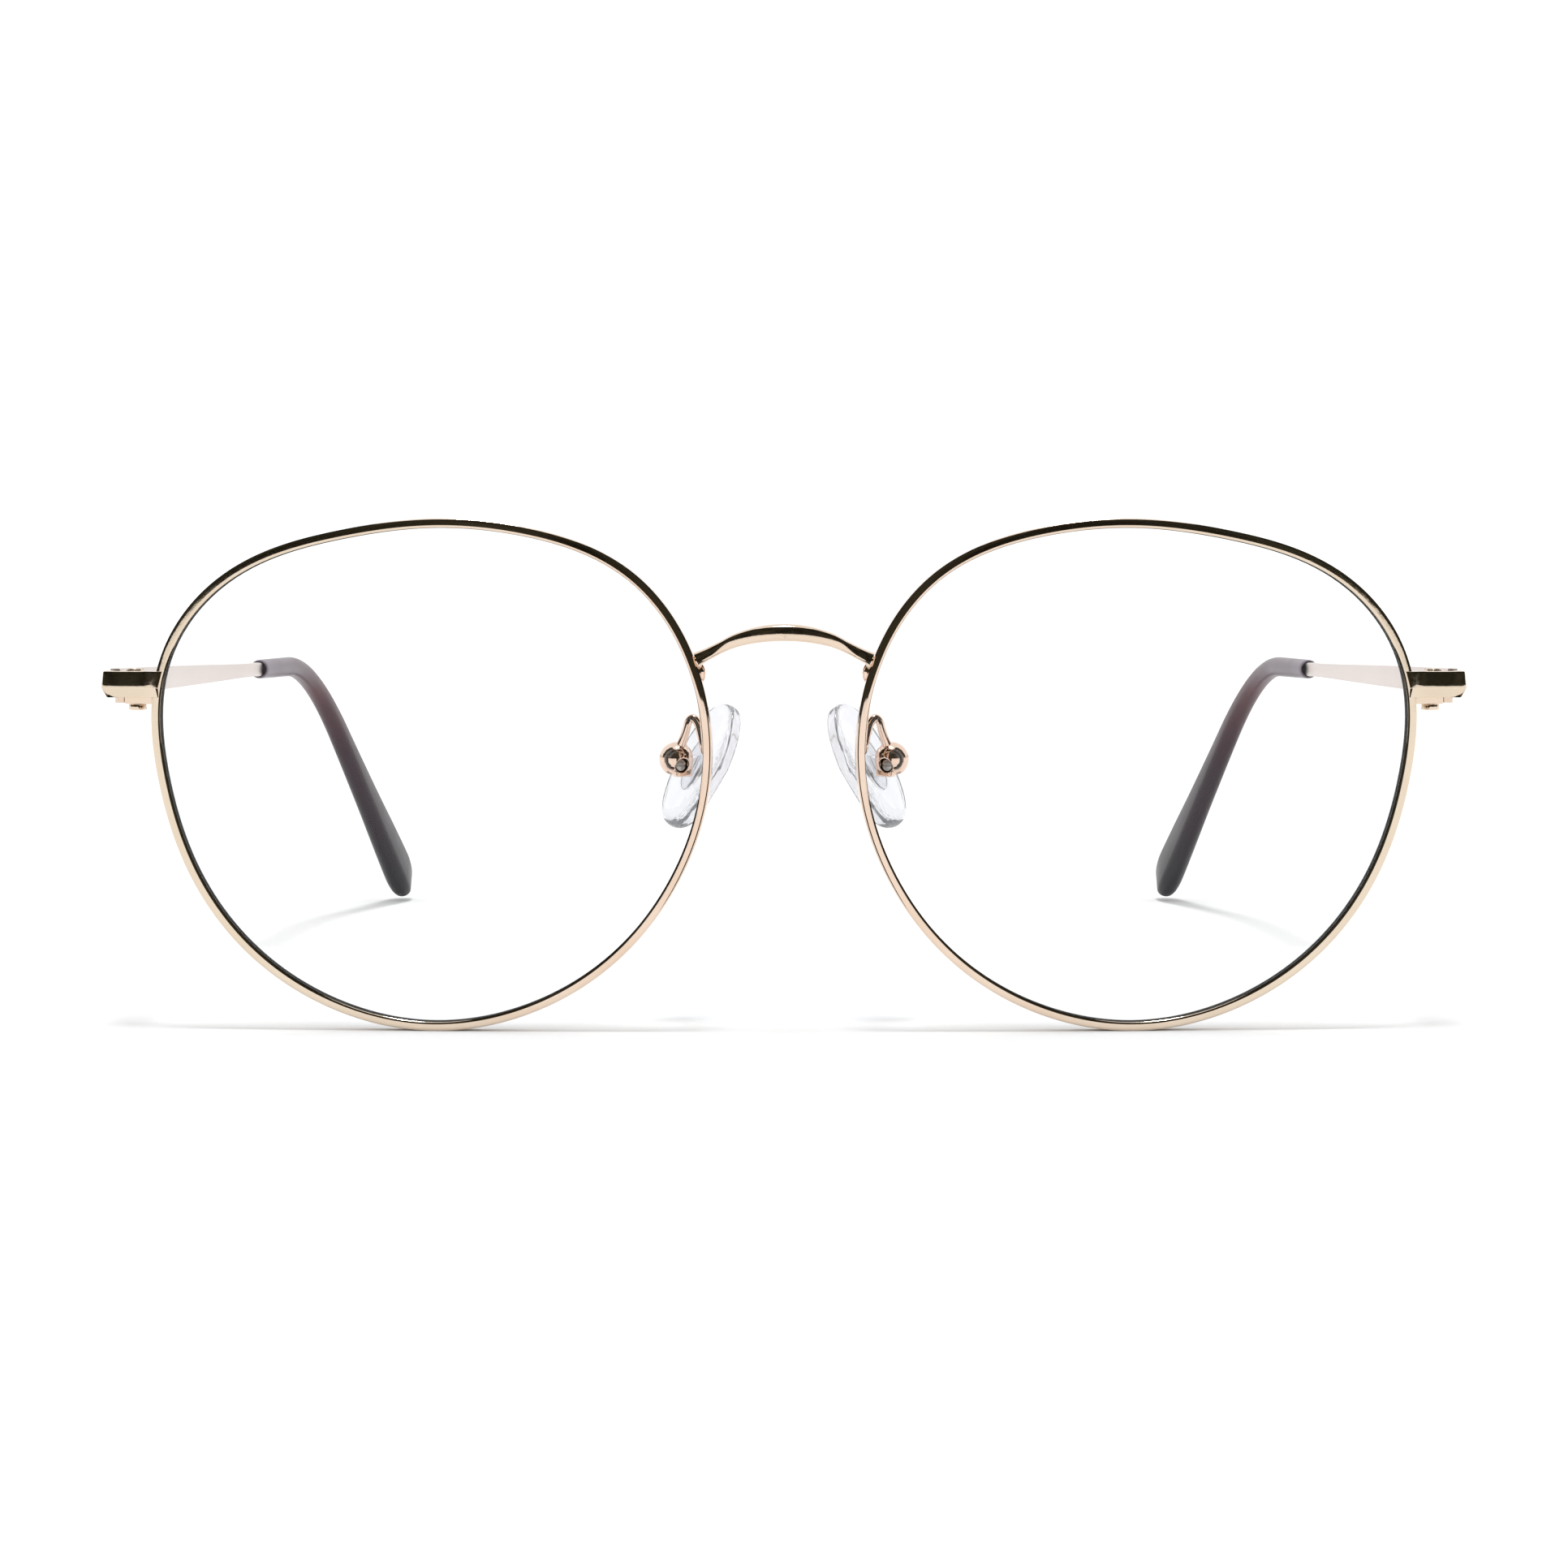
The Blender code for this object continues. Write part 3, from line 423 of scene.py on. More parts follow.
class Nodes:
    """Small helper that adds and links the nodes of one material."""

    def __init__(self, name):
        self.material = bpy.data.materials.new(name)
        self.material.use_nodes = True
        self.tree = self.material.node_tree
        self.shader = self.tree.nodes["Principled BSDF"]
        self.coordinates = self.add("ShaderNodeTexCoord").outputs["Object"]

    def add(self, kind, links=(), **settings):
        node = self.tree.nodes.new(kind)
        for key, value in settings.items():
            setattr(node, key, value)
        for key, value in dict(links).items():
            self.feed(node.inputs[key], value)
        return node

    def feed(self, socket, value):
        if isinstance(value, bpy.types.NodeSocket):
            self.tree.links.new(value, socket)
        else:
            socket.default_value = value

    def set(self, **values):
        for key, value in values.items():
            self.feed(self.shader.inputs[key.replace("_", " ")], value)

    def noise(self, scale, detail=3.0, roughness=0.5, stretch=(1.0, 1.0, 1.0)):
        mapping = self.add("ShaderNodeMapping", {"Vector": self.coordinates, "Scale": stretch})
        return self.add("ShaderNodeTexNoise", {
            "Vector": mapping.outputs["Vector"], "Scale": scale, "Detail": detail,
            "Roughness": roughness}).outputs["Fac"]

    def spread(self, value, low, high, start=0.0, end=1.0):
        return self.add("ShaderNodeMapRange", {
            "Value": value, "From Min": start, "From Max": end,
            "To Min": low, "To Max": high}).outputs["Result"]

    def blend(self, factor, one, two):
        node = self.add("ShaderNodeMix", data_type="RGBA")
        self.feed(node.inputs[0], factor)
        self.feed(node.inputs[6], one)
        self.feed(node.inputs[7], two)
        return node.outputs[2]

    def maths(self, operation, one, two=0.0):
        node = self.add("ShaderNodeMath", operation=operation)
        self.feed(node.inputs[0], one)
        self.feed(node.inputs[1], two)
        return node.outputs[0]

    def bump(self, height, distance, strength=1.0, normal=None):
        node = self.add("ShaderNodeBump", {"Height": height, "Distance": distance,
                                           "Strength": strength})
        if normal is not None:
            self.feed(node.inputs["Normal"], normal)
        return node.outputs["Normal"]


def rgb(red, green, blue):
    return (red, green, blue, 1.0)


CHAMPAGNE = rgb(0.74, 0.635, 0.50)
CHAMPAGNE_DEEP = rgb(0.68, 0.565, 0.42)
ROSE = rgb(0.83, 0.64, 0.53)
ROSE_DEEP = rgb(0.74, 0.50, 0.38)
STRIP_PALE = rgb(0.76, 0.68, 0.645)
STRIP_DEEP = rgb(0.69, 0.605, 0.57)


def plated(name, rose_share, rough_low, rough_high, rounding=0.0):
    """Polished plating: its tone warms toward the nose, with faint wipe marks."""
    n = Nodes(name)
    split = n.add("ShaderNodeSeparateXYZ", {"Vector": n.coordinates})
    across = n.maths("ABSOLUTE", split.outputs["X"])
    warm = n.spread(across, min(rose_share + 0.55, 1.0), rose_share, 0.008, 0.050)
    patches = n.noise(160.0, 3.0)
    light = n.blend(warm, CHAMPAGNE, ROSE)
    deep = n.blend(warm, CHAMPAGNE_DEEP, ROSE_DEEP)
    tone = n.spread(patches, 0.0, 0.55, 0.35, 0.75)
    n.set(Base_Color=n.blend(tone, light, deep), Metallic=1.0)
    wipes = n.noise(2600.0, 4.0, 0.6)
    n.set(Roughness=n.spread(wipes, rough_low, rough_high, 0.3, 0.7))
    waves = n.noise(900.0, 2.0)
    pits = n.noise(9000.0, 2.0)
    height = n.maths("ADD", n.maths("MULTIPLY", waves, 0.9), n.maths("MULTIPLY", pits, 0.1))
    edge = None
    if rounding > 0.0:
        edge = n.add("ShaderNodeBevel", {"Radius": rounding}, samples=6).outputs["Normal"]
    n.set(Normal=n.bump(height, 0.000012, 0.6, edge))
    return n.material


def brushed(name):
    """Satin strip with fine lines drawn along its length."""
    n = Nodes(name)
    lines = n.noise(1400.0, 4.0, 0.7, stretch=(14.0, 0.25, 14.0))
    broad = n.noise(60.0, 2.0, stretch=(1.0, 0.5, 1.0))
    n.set(Base_Color=n.blend(n.spread(broad, 0.0, 1.0, 0.3, 0.7), STRIP_PALE, STRIP_DEEP),
          Metallic=1.0, Roughness=n.spread(lines, 0.27, 0.42, 0.3, 0.7))
    n.set(Normal=n.bump(lines, 0.000010, 0.5))
    return n.material


def steel(name):
    n = Nodes(name)
    marks = n.noise(3000.0, 4.0, 0.6)
    n.set(Base_Color=n.blend(marks, rgb(0.52, 0.50, 0.48), rgb(0.30, 0.28, 0.27)), Metallic=1.0,
          Roughness=n.spread(marks, 0.22, 0.42, 0.3, 0.7))
    n.set(Normal=n.bump(marks, 0.00002, 0.5))
    return n.material


def clear_lens(name):
    """Coated lens: nearly invisible, with a thin mirror film."""
    n = Nodes(name)
    n.tree.nodes.remove(n.shader)
    smears = n.noise(45.0, 3.0)
    film = n.add("ShaderNodeBsdfGlossy", {"Color": n.blend(smears, rgb(0.90, 0.97, 0.94),
                                                         rgb(0.92, 0.94, 1.0))})
    n.feed(film.inputs["Roughness"], n.spread(smears, 0.0, 0.02, 0.4, 0.7))
    through = n.add("ShaderNodeBsdfTransparent", {"Color": rgb(0.995, 0.998, 0.997)})
    fresnel = n.add("ShaderNodeFresnel", {"IOR": 1.25})
    mix = n.add("ShaderNodeMixShader")
    n.feed(mix.inputs[0], fresnel.outputs[0])
    n.feed(mix.inputs[1], through.outputs[0])
    n.feed(mix.inputs[2], film.outputs[0])
    out = n.tree.nodes["Material Output"]
    n.feed(out.inputs["Surface"], mix.outputs[0])
    return n.material


def shaded_ground_edge(name):
    """Matt ground edge of a lens, its colour painted dark as the shade where it sits in the groove.
    """
    n = Nodes(name)
    grit = n.noise(4000.0, 3.0)
    # painted shade: the dark base colour stands in for the shade inside the rim's groove
    n.set(Base_Color=n.blend(grit, rgb(0.045, 0.041, 0.038), rgb(0.085, 0.078, 0.072)),
          Roughness=n.spread(grit, 0.40, 0.60, 0.3, 0.7), Specular_IOR_Level=0.3)
    n.set(Normal=n.bump(grit, 0.00001, 0.5))
    return n.material


def clear_rubber(name, tint, roughness, ior, clear):
    """Clear silicone or hard insert; light passes on to the floor behind it."""
    n = Nodes(name)
    cloud = n.noise(420.0, 3.0)
    n.set(Base_Color=n.blend(cloud, tint, rgb(0.95, 0.955, 0.98)), Transmission_Weight=clear,
          IOR=ior, Roughness=n.spread(cloud, roughness, roughness + 0.02, 0.35, 0.7))
    ripples = n.noise(330.0, 3.0, 0.55, stretch=(1.0, 1.0, 0.5))
    n.set(Normal=n.bump(ripples, 0.00022, 0.5))
    through = n.add("ShaderNodeBsdfTransparent", {"Color": rgb(0.90, 0.91, 0.93)})
    path = n.add("ShaderNodeLightPath")
    mix = n.add("ShaderNodeMixShader")
    n.feed(mix.inputs[0], path.outputs["Is Shadow Ray"])
    n.feed(mix.inputs[1], n.shader.outputs[0])
    n.feed(mix.inputs[2], through.outputs[0])
    n.feed(n.tree.nodes["Material Output"].inputs["Surface"], mix.outputs[0])
    return n.material


def smoky_tip(name):
    """Smoky acetate, lilac grey at the mouth, red brown in the middle, charcoal at the end, with a
    painted sheen that lightens its grazing edges.
    """
    n = Nodes(name)
    split = n.add("ShaderNodeSeparateXYZ", {"Vector": n.coordinates})
    run = n.spread(split.outputs["Y"], 0.0, 0.42, 0.008, 0.040)
    drop = n.spread(split.outputs["Z"], 0.58, 0.0, 0.003, 0.0325)
    along = n.maths("ADD", run, drop)
    cloud = n.noise(260.0, 4.0, 0.55)
    wander = n.maths("ADD", along, n.spread(cloud, -0.05, 0.05))
    ramp = n.add("ShaderNodeValToRGB", {"Fac": wander})
    stops = ramp.color_ramp.elements
    stops[0].position = 0.0
    stops[0].color = rgb(0.135, 0.108, 0.132)
    stops[1].position = 1.0
    stops[1].color = rgb(0.004, 0.0035, 0.005)
    for position, colour in ((0.28, rgb(0.085, 0.052, 0.064)), (0.44, rgb(0.070, 0.018, 0.022)),
                             (0.66, rgb(0.022, 0.007, 0.011))):
        stop = stops.new(position)
        stop.color = colour
    # painted sheen: faces seen edge-on are lightened toward lilac grey in the base colour, standing
    # in for soft reflected light
    edge = n.add("ShaderNodeLayerWeight", {"Blend": 0.35})
    tone_with_painted_sheen = n.blend(n.spread(edge.outputs["Facing"], 0.0, 0.12, 0.55, 1.0),
                       ramp.outputs["Color"], rgb(0.36, 0.33, 0.38))
    n.set(Base_Color=tone_with_painted_sheen, Roughness=n.spread(cloud, 0.29, 0.35, 0.3, 0.7),
          Specular_IOR_Level=0.25, Specular_Tint=rgb(0.98, 0.86, 1.0), IOR=1.49)
    n.set(Normal=n.bump(n.noise(900.0, 3.0), 0.00002, 0.12))
    return n.material


gold = plated("champagne_plating", 0.12, 0.045, 0.11)
rose = plated("rose_plating", 1.0, 0.045, 0.11)
bridge_metal = plated("bridge_plating", -0.12, 0.045, 0.11)
small_gold = plated("champagne_hardware", 0.35, 0.10, 0.20)
hinge_metal = plated("champagne_hinge", 0.50, 0.14, 0.26, rounding=0.00012)
strip_metal = brushed("satin_strip")
strip_hinge = plated("strip_hinge", 0.45, 0.20, 0.32, rounding=0.00010)
screw_metal = steel("steel_screw")
lens_glass = clear_lens("coated_lens")
lens_edge = shaded_ground_edge("ground_lens_edge_painted_shade")
silicone = clear_rubber("clear_silicone", rgb(0.86, 0.865, 0.90), 0.02, 1.41, 0.90)
insert_clear = clear_rubber("clear_insert", rgb(0.84, 0.85, 0.88), 0.05, 1.49, 0.90)
acetate = smoky_tip("smoky_acetate")

# ---------------------------------------------------------------- rims and lenses


def rim_radius_function():
    """Periodic cubic spline through the rim radii."""
    values = np.array(RIM_RADII)
    count = len(values)
    pitch = 2.0 * math.pi / count
    system = np.zeros((count, count))
    right = np.zeros(count)
    for i in range(count):
        before = (i - 1) % count
        after = (i + 1) % count
        system[i, before] = 1.0
        system[i, i] = 4.0
        system[i, after] = 1.0
        right[i] = 6.0 * (values[before] - 2.0 * values[i] + values[after]) / pitch ** 2
    bend = np.linalg.solve(system, right)

    def radius(angle):
        turn = (angle / pitch) % count
        i = int(turn) % count
        j = (i + 1) % count
        b = turn - int(turn)
        a = 1.0 - b
        cubic = (a ** 3 - a) * bend[i] + (b ** 3 - b) * bend[j]
        return float(a * values[i] + b * values[j] + cubic * pitch ** 2 / 6.0)

    return radius


rim_radius = rim_radius_function()


def outline_frame(angle):
    """Point of the rim outline and the direction to its inside."""
    step = 0.002
    here = Vector((math.cos(angle), math.sin(angle))) * rim_radius(angle)
    after = Vector((math.cos(angle + step), math.sin(angle + step))) * rim_radius(angle + step)
    before = Vector((math.cos(angle - step), math.sin(angle - step))) * rim_radius(angle - step)
    tangent = (after - before).normalized()
    return here, Vector((-tangent.y, tangent.x))


def sag(u, v):
    return (u * u + v * v) / (2.0 * LENS_CURVE_R)


# local rim frame: X temporal, Y up, Z toward the front
FRONT = Matrix((
    (math.cos(RIM_WRAP), 0.0, math.sin(RIM_WRAP), RIM_CENTRE_X),
    (math.sin(RIM_WRAP), 0.0, -math.cos(RIM_WRAP), 0.0),
    (0.0, 1.0, 0.0, RIM_CENTRE_Z),
    (0.0, 0.0, 0.0, 1.0),
))


def rim_angles(stations, half_gap=SPLIT_HALF_GAP):
    start = math.radians(SPLIT_ANGLE + half_gap)
    sweep = math.radians(360.0 - 2.0 * half_gap)
    return [start + sweep * i / stations for i in range(stations + 1)]


def rim_profile():
    """Inset and depth round the wire: crowned front, soft back, lens groove inside."""
    half = 0.5 * RIM_WALL
    points = []
    for i in range(RIM_FACE_STEPS + 1):
        u = -half + 2.0 * half * i / RIM_FACE_STEPS
        share = abs(u) / half
        points.append((half + u, RIM_CROWN * share ** RIM_CROWN_POWER))
    points.append((RIM_WALL, RIM_CROWN + RIM_FRONT_CORNER))
    middle = 0.5 * RIM_DEPTH
    points.append((RIM_WALL, middle - GROOVE_HALF_WIDTH - 0.03))
    points.append((RIM_WALL - GROOVE_LIP, middle - GROOVE_HALF_WIDTH + 0.02))
    points.append((RIM_WALL - GROOVE_DEPTH, middle - 0.03))
    points.append((RIM_WALL - GROOVE_DEPTH, middle + 0.03))
    points.append((RIM_WALL - GROOVE_LIP, middle + GROOVE_HALF_WIDTH - 0.02))
    points.append((RIM_WALL, middle + GROOVE_HALF_WIDTH + 0.03))
    corner = RIM_BACK_CORNER
    for i in range(5):
        angle = math.radians(90.0 * i / 4)
        points.append((RIM_WALL - corner + corner * math.cos(angle),
                       RIM_DEPTH - corner + corner * math.sin(angle)))
    for i in range(5):
        angle = math.radians(90.0 + 90.0 * i / 4)
        points.append((corner + corner * math.cos(angle),
                       RIM_DEPTH - corner + corner * math.sin(angle)))
    points.append((0.0, middle + 0.2))
    points.append((0.0, middle - 0.3))
    points.append((0.0, RIM_CROWN + RIM_FRONT_CORNER))
    return points


def rim():
    profile = rim_profile()
    rings = []
    for angle in rim_angles(RIM_STATIONS):
        spot, inward = outline_frame(angle)
        ring = []
        depth_here = sag(spot.x, spot.y)
        rise = min(max((-inward.y - RIM_LEAN_START) / RIM_LEAN_SPAN, 0.0), 1.0)
        nasal = 0.5 + 0.5 * inward.x
        wanted = RIM_TILT_UP * (0.3 + 1.4 * nasal) / max(-inward.y, RIM_LEAN_START)
        lean = min(RIM_LEAN_MOST, wanted) * rise * rise * (3.0 - 2.0 * rise)
        for inset, depth in profile:
            front_share = max(0.0, 1.0 - depth / 0.6)
            at = spot + inward * inset
            drop = depth + lean * (RIM_WALL - inset) * front_share
            ring.append(FRONT @ Vector((at.x, at.y, -depth_here - drop)))
        rings.append(ring)
    return lofted(rings, "rim")


def lens():
    edge = RIM_WALL + LENS_CLEAR
    apex = edge - GROOVE_DEPTH + 0.02
    middle = 0.5 * RIM_DEPTH
    angles = rim_angles(RIM_STATIONS // 2, 0.0)[:-1]
    rings = []

    def add_ring(inset, scale, depth):
        ring = []
        for angle in angles:
            spot, inward = outline_frame(angle)
            at = (spot + inward * inset) * scale
            ring.append(FRONT @ Vector((at.x, at.y, -sag(at.x, at.y) - depth)))
        rings.append(ring)

    for scale in LENS_RING_SCALES:
        add_ring(edge, scale, LENS_FRONT)
    add_ring(edge, 1.0, LENS_FRONT)
    add_ring(edge, 1.0, middle - GROOVE_HALF_WIDTH + LENS_BEVEL_INSET)
    add_ring(apex, 1.0, middle)
    add_ring(edge, 1.0, middle + GROOVE_HALF_WIDTH - LENS_BEVEL_INSET)
    add_ring(edge, 1.0, LENS_BACK)
    for scale in reversed(LENS_RING_SCALES):
        add_ring(edge, scale, LENS_BACK)
    return lofted(rings, "lens")


place_pair("rim", rim(), gold, FRONT_BODY, sharp=32.0)
place_pair("lens", lens(), lens_glass, FRONT_BODY, sharp=20.0)
# the lens's edge faces take the edge material, whose dark colour is painted groove shade
for side_name in ("left", "right"):
    disc = bpy.data.objects[f"lens_{side_name}_detail"].data
    disc.materials.append(lens_edge)
    for polygon in disc.polygons:
        if abs(polygon.normal.y) < LENS_FACE_LIMIT:
            polygon.material_index = 1

# ---------------------------------------------------------------- bridge


def bridge():
    half = [(x, y, z) for x, y, z, tall, deep in BRIDGE_STATIONS]
    sizes = [(x, tall, deep) for x, y, z, tall, deep in BRIDGE_STATIONS]
    centres = smooth_chain([(-x, y, z) for x, y, z in reversed(half[1:])] + half, 8)
    rings = []
    for i, centre in enumerate(centres):
        before = centres[max(i - 1, 0)]
        after = centres[min(i + 1, len(centres) - 1)]
        along = (after - before).normalized()
        back = (Vector((0.0, 1.0, 0.0)) - along * along.y).normalized()
        up = along.cross(back)
        tall, deep = table_value(sizes, abs(centre.x))
        section = crowned_section(deep, tall, BRIDGE_SQUARENESS)
        near_rim = min(max((abs(centre.x) - BRIDGE_END_START) / BRIDGE_END_SPAN, 0.0), 1.0)
        lean = BRIDGE_LEAN + BRIDGE_END_LEAN * near_rim * near_rim
        rings.append([centre + back * (a + lean * b) + up * b for a, b in section])
    mesh = lofted(rings, "bridge")
    for side in (1.0, -1.0):
        bead = ball(BEAD_R, (side * BEAD_CENTRE[0], BEAD_CENTRE[1], BEAD_CENTRE[2]), BEAD_SCALE)
        mesh = joined(mesh, bead, "UNION")
    return mesh


place("bridge_detail", bridge(), bridge_metal, FRONT_BODY, ["bridge"], sharp=50.0)

# ---------------------------------------------------------------- end pieces and locks


# height of each level of the end piece and how far its front is set back there
END_LEVELS = (
    (33.05, 0.68), (33.07, 0.60), (33.12, 0.54), (33.55, 0.27), (33.93, 0.035), (33.97, 0.012),
    (34.01, 0.004), (34.05, 0.002), (34.40, 0.042), (34.90, 0.104), (35.40, 0.166), (35.48, 0.178),
    (35.54, 0.192), (35.59, 0.215), (35.63, 0.255), (35.65, 0.315),
)


def web_shift(height):
    """How far the end against the rim moves out, so that it follows the rim's curve."""
    return WEB_AT_LOW - WEB_SLOPE * (height - END_LOW)


def web_share(x):
    """How much of the web's shift applies at this distance from the nose."""
    return max(0.0, min(1.0, (WEB_START_X - x) / WEB_REACH))


def end_piece():
    """L-shaped end with a flat face, a broad lower bevel and a web blended to the rim."""
    outer = smooth_chain([(62.25, 2.30, 0.0), (62.75, 2.62, 0.0), (63.6, 2.74, 0.0),
                          (65.2, 2.77, 0.0), (66.55, 2.80, 0.0), (67.48, 2.92, 0.0)], 4)
    outer += smooth_chain([(67.62, 3.00, 0.0), (67.78, 3.40, 0.0), (67.82, 4.10, 0.0),
                           (67.80, 5.40, 0.0), (67.78, 6.60, 0.0)], 4)
    inner = [(66.66, 6.60), (66.62, 4.45), (66.54, 4.22), (66.38, 4.03), (66.05, 3.90),
             (64.7, 3.86), (63.4, 3.84), (62.70, 3.80), (62.42, 3.30)]
    rings = []
    for height, back in END_LEVELS:
        ring = []
        for i, spot in enumerate(outer):
            before = outer[max(i - 1, 0)]
            after = outer[min(i + 1, len(outer) - 1)]
            along = (after - before).normalized()
            out_x = along.y
            near = web_share(spot.x)
            web = near * web_shift(height)
            reach = back * (1.0 - near)
            ring.append((spot.x - out_x * back + web, spot.y + (1.0 - out_x ** 2) * reach, height))
        edge = 0.08 if height in (END_LEVELS[0][0], END_LEVELS[-1][0]) else 0.0
        for x, y in inner:
            near = web_share(x)
            ring.append((x + edge + near * web_shift(height), y - edge, height))
        rings.append(ring)
    return lofted(rings, "end_piece")


def lock_block(heights, slant):
    low = (BLOCK_X[0], BLOCK_Y[0], heights[0])
    high = (BLOCK_X[1], BLOCK_Y[1], heights[1])
    mesh = softened(block(low, high), BLOCK_ROUND, 4)
    bore = prism([(LOCK_SCREW_X + LOCK_BORE_R * math.cos(a), LOCK_SCREW_Y + LOCK_BORE_R * math.sin(a))
                  for a in [2.0 * math.pi * i / 36 for i in range(36)]], *LOCK_BORE_Z)
    mesh = joined(mesh, bore, "DIFFERENCE")
    for vert in mesh.vertices:
        near = max(0.0, min(1.0, (BLOCK_WRAP_X - vert.co.x) / BLOCK_WRAP_REACH))
        vert.co.x -= slant * near * (heights[1] - vert.co.z)
        vert.co.y -= 0.9 * near ** 2 * (0.25 if vert.co.y > 4.7 else 1.0)
    return mesh


def screw(head_r, shank_r, head_low, head_high, tip, slot_width, slot_depth, teeth=0):
    """Slotted cheese-head screw with its head at the bottom, made round Z."""
    round_off = 0.10
    profile = [(0.02, tip), (shank_r - 0.12, tip), (shank_r, tip - 0.12)]
    height = tip - 0.12
    while height - THREAD_PITCH > head_high + 0.1:
        profile.append((shank_r, height))
        profile.append((shank_r - THREAD_DEPTH, height - 0.5 * THREAD_PITCH))
        height -= THREAD_PITCH
    profile.extend([(shank_r, head_high), (head_r - 0.03, head_high), (head_r, head_high - 0.04),
                    (head_r, head_low + round_off), (head_r - 0.03, head_low + 0.035),
                    (head_r - round_off, head_low), (0.02, head_low)])
    mesh = turned(profile, 60)
    for vert in mesh.vertices:
        radius = math.hypot(vert.co.x, vert.co.y)
        if teeth and radius > head_r - 0.06 and vert.co.z < head_high + 0.01:
            turn = math.atan2(vert.co.y, vert.co.x)
            shrink = 1.0 - 0.05 * max(0.0, math.cos(teeth * turn))
            vert.co.x *= shrink
            vert.co.y *= shrink
    slot = block((-2.0, -0.5 * slot_width, head_low - 0.5),
                 (2.0, 0.5 * slot_width, head_low + slot_depth))
    return joined(mesh, slot, "DIFFERENCE")


place_pair("end_piece", end_piece(), gold, FRONT_BODY, sharp=24.0)
place_pair("lock_block_upper", lock_block(BLOCK_UPPER_Z, 0.0), small_gold, FRONT_BODY)
place_pair("lock_block_lower", lock_block(BLOCK_LOWER_Z, 0.12), small_gold, FRONT_BODY)
lock_head = screw(head_r=0.87, shank_r=0.47, head_low=31.76, head_high=32.31, tip=35.0,
                  slot_width=0.26, slot_depth=0.2, teeth=12)
place_pair("lock_screw", moved(lock_head, Matrix.Translation((LOCK_SCREW_X, LOCK_SCREW_Y, 0.0))),
           small_gold, FRONT_BODY)

# ---------------------------------------------------------------- hinges

hinge_pin = screw(head_r=0.84, shank_r=0.44, head_low=-HINGE_HEAD[1], head_high=-HINGE_HEAD[0],
                  tip=-32.56, slot_width=0.24, slot_depth=0.15)
hinge_pin = moved(hinge_pin, Matrix.Rotation(math.pi, 4, "X"))
place_pair("hinge_screw", moved(hinge_pin, Matrix.Translation((HINGE_X, HINGE_Y, 0.0))),
           small_gold, FRONT_BODY)
for side_name in ("left", "right"):
    for node_name, metal in ((f"front_hinge_{side_name}", hinge_metal),
                             (f"temple_hinge_{side_name}", strip_hinge)):
        node = bpy.data.objects[node_name]
        for material_slot in node.material_slots:
            material_slot.material = metal

# ---------------------------------------------------------------- temples


def temple_line():
    first = (TEMPLE_CORNER - TEMPLE_START).normalized()
    second = (TEMPLE_END - TEMPLE_CORNER).normalized()
    enter = TEMPLE_CORNER - first * BEND_REACH
    leave = TEMPLE_CORNER + second * BEND_REACH
    points = [TEMPLE_START.lerp(enter, i / 40.0) for i in range(41)]
    for i in range(1, 40):
        t = i / 40.0
        points.append(enter.lerp(TEMPLE_CORNER, t).lerp(TEMPLE_CORNER.lerp(leave, t), t))
    points.extend(leave.lerp(TEMPLE_END, i / 12.0) for i in range(13))
    lengths = [0.0]
    for near, far in zip(points, points[1:]):
        lengths.append(lengths[-1] + (far - near).length)
    return points, lengths


LINE_POINTS, LINE_LENGTHS = temple_line()


def line_place(at):
    if at >= LINE_LENGTHS[-1]:
        along = (LINE_POINTS[-1] - LINE_POINTS[-2]).normalized()
        return LINE_POINTS[-1] + along * (at - LINE_LENGTHS[-1])
    at = max(at, 0.0)
    i = max(k for k in range(len(LINE_LENGTHS) - 1) if LINE_LENGTHS[k] <= at)
    share = (at - LINE_LENGTHS[i]) / (LINE_LENGTHS[i + 1] - LINE_LENGTHS[i])
    return LINE_POINTS[i].lerp(LINE_POINTS[i + 1], share)


def line_ring(distance, table, grow=0.0):
    reach = 1.5
    along = (line_place(distance + reach) - line_place(distance - reach)).normalized()
    side = (Vector((1.0, 0.0, 0.0)) - along * along.x).normalized()
    up = side.cross(along)
    thick, tall, corner = table_value(table, distance)
    section = rounded_section(thick + 2.0 * grow, tall + 2.0 * grow, corner + grow)
    centre = line_place(distance)
    return [centre + side * a + up * b for a, b in section]


def stations(start, end, count, extra=()):
    chosen = [start + (end - start) * i / count for i in range(count + 1)]
    chosen.extend(row[0] for row in extra if start < row[0] < end)
    return sorted(set(chosen))


def temple():
    rings = [[Vector((p.x, TEMPLE_START.y, p.z)) for p in line_ring(0.0, STRIP_SECTIONS)]]
    for distance in stations(1.0, 70.0, 40, STRIP_SECTIONS):
        rings.append(line_ring(distance, STRIP_SECTIONS))
    for distance in stations(71.0, CORE_END, 60):
        rings.append(line_ring(distance, STRIP_SECTIONS))
    return lofted(rings, "temple")


def temple_tip():
    """Sleeve with a flared mouth and a bore for the core wire."""
    rings = [line_ring(CORE_END + 0.3, STRIP_SECTIONS, GAP)]
    for distance in reversed(stations(MOUTH + MOUTH_DEPTH, CORE_END, 60)):
        rings.append(line_ring(distance, STRIP_SECTIONS, GAP))
    for distance, bore in ((69.4, 1.58), (69.0, 1.70), (68.45, 1.72), (68.3, 1.80)):
        rings.append(line_ring(distance, ((0.0, bore, bore, 0.5 * bore),
                                          (200.0, bore, bore, 0.5 * bore))))
    for distance in stations(MOUTH, SLEEVE_SECTIONS[-1][0], 110, SLEEVE_SECTIONS):
        rings.append(line_ring(distance, SLEEVE_SECTIONS))
    return lofted(rings, "temple_tip")


place_pair("temple", temple(), strip_metal, "temple_SIDE_side", sharp=35.0)
place_pair("temple_tip", temple_tip(), acetate, "temple_SIDE_side", sharp=50.0)

# ---------------------------------------------------------------- nose pads

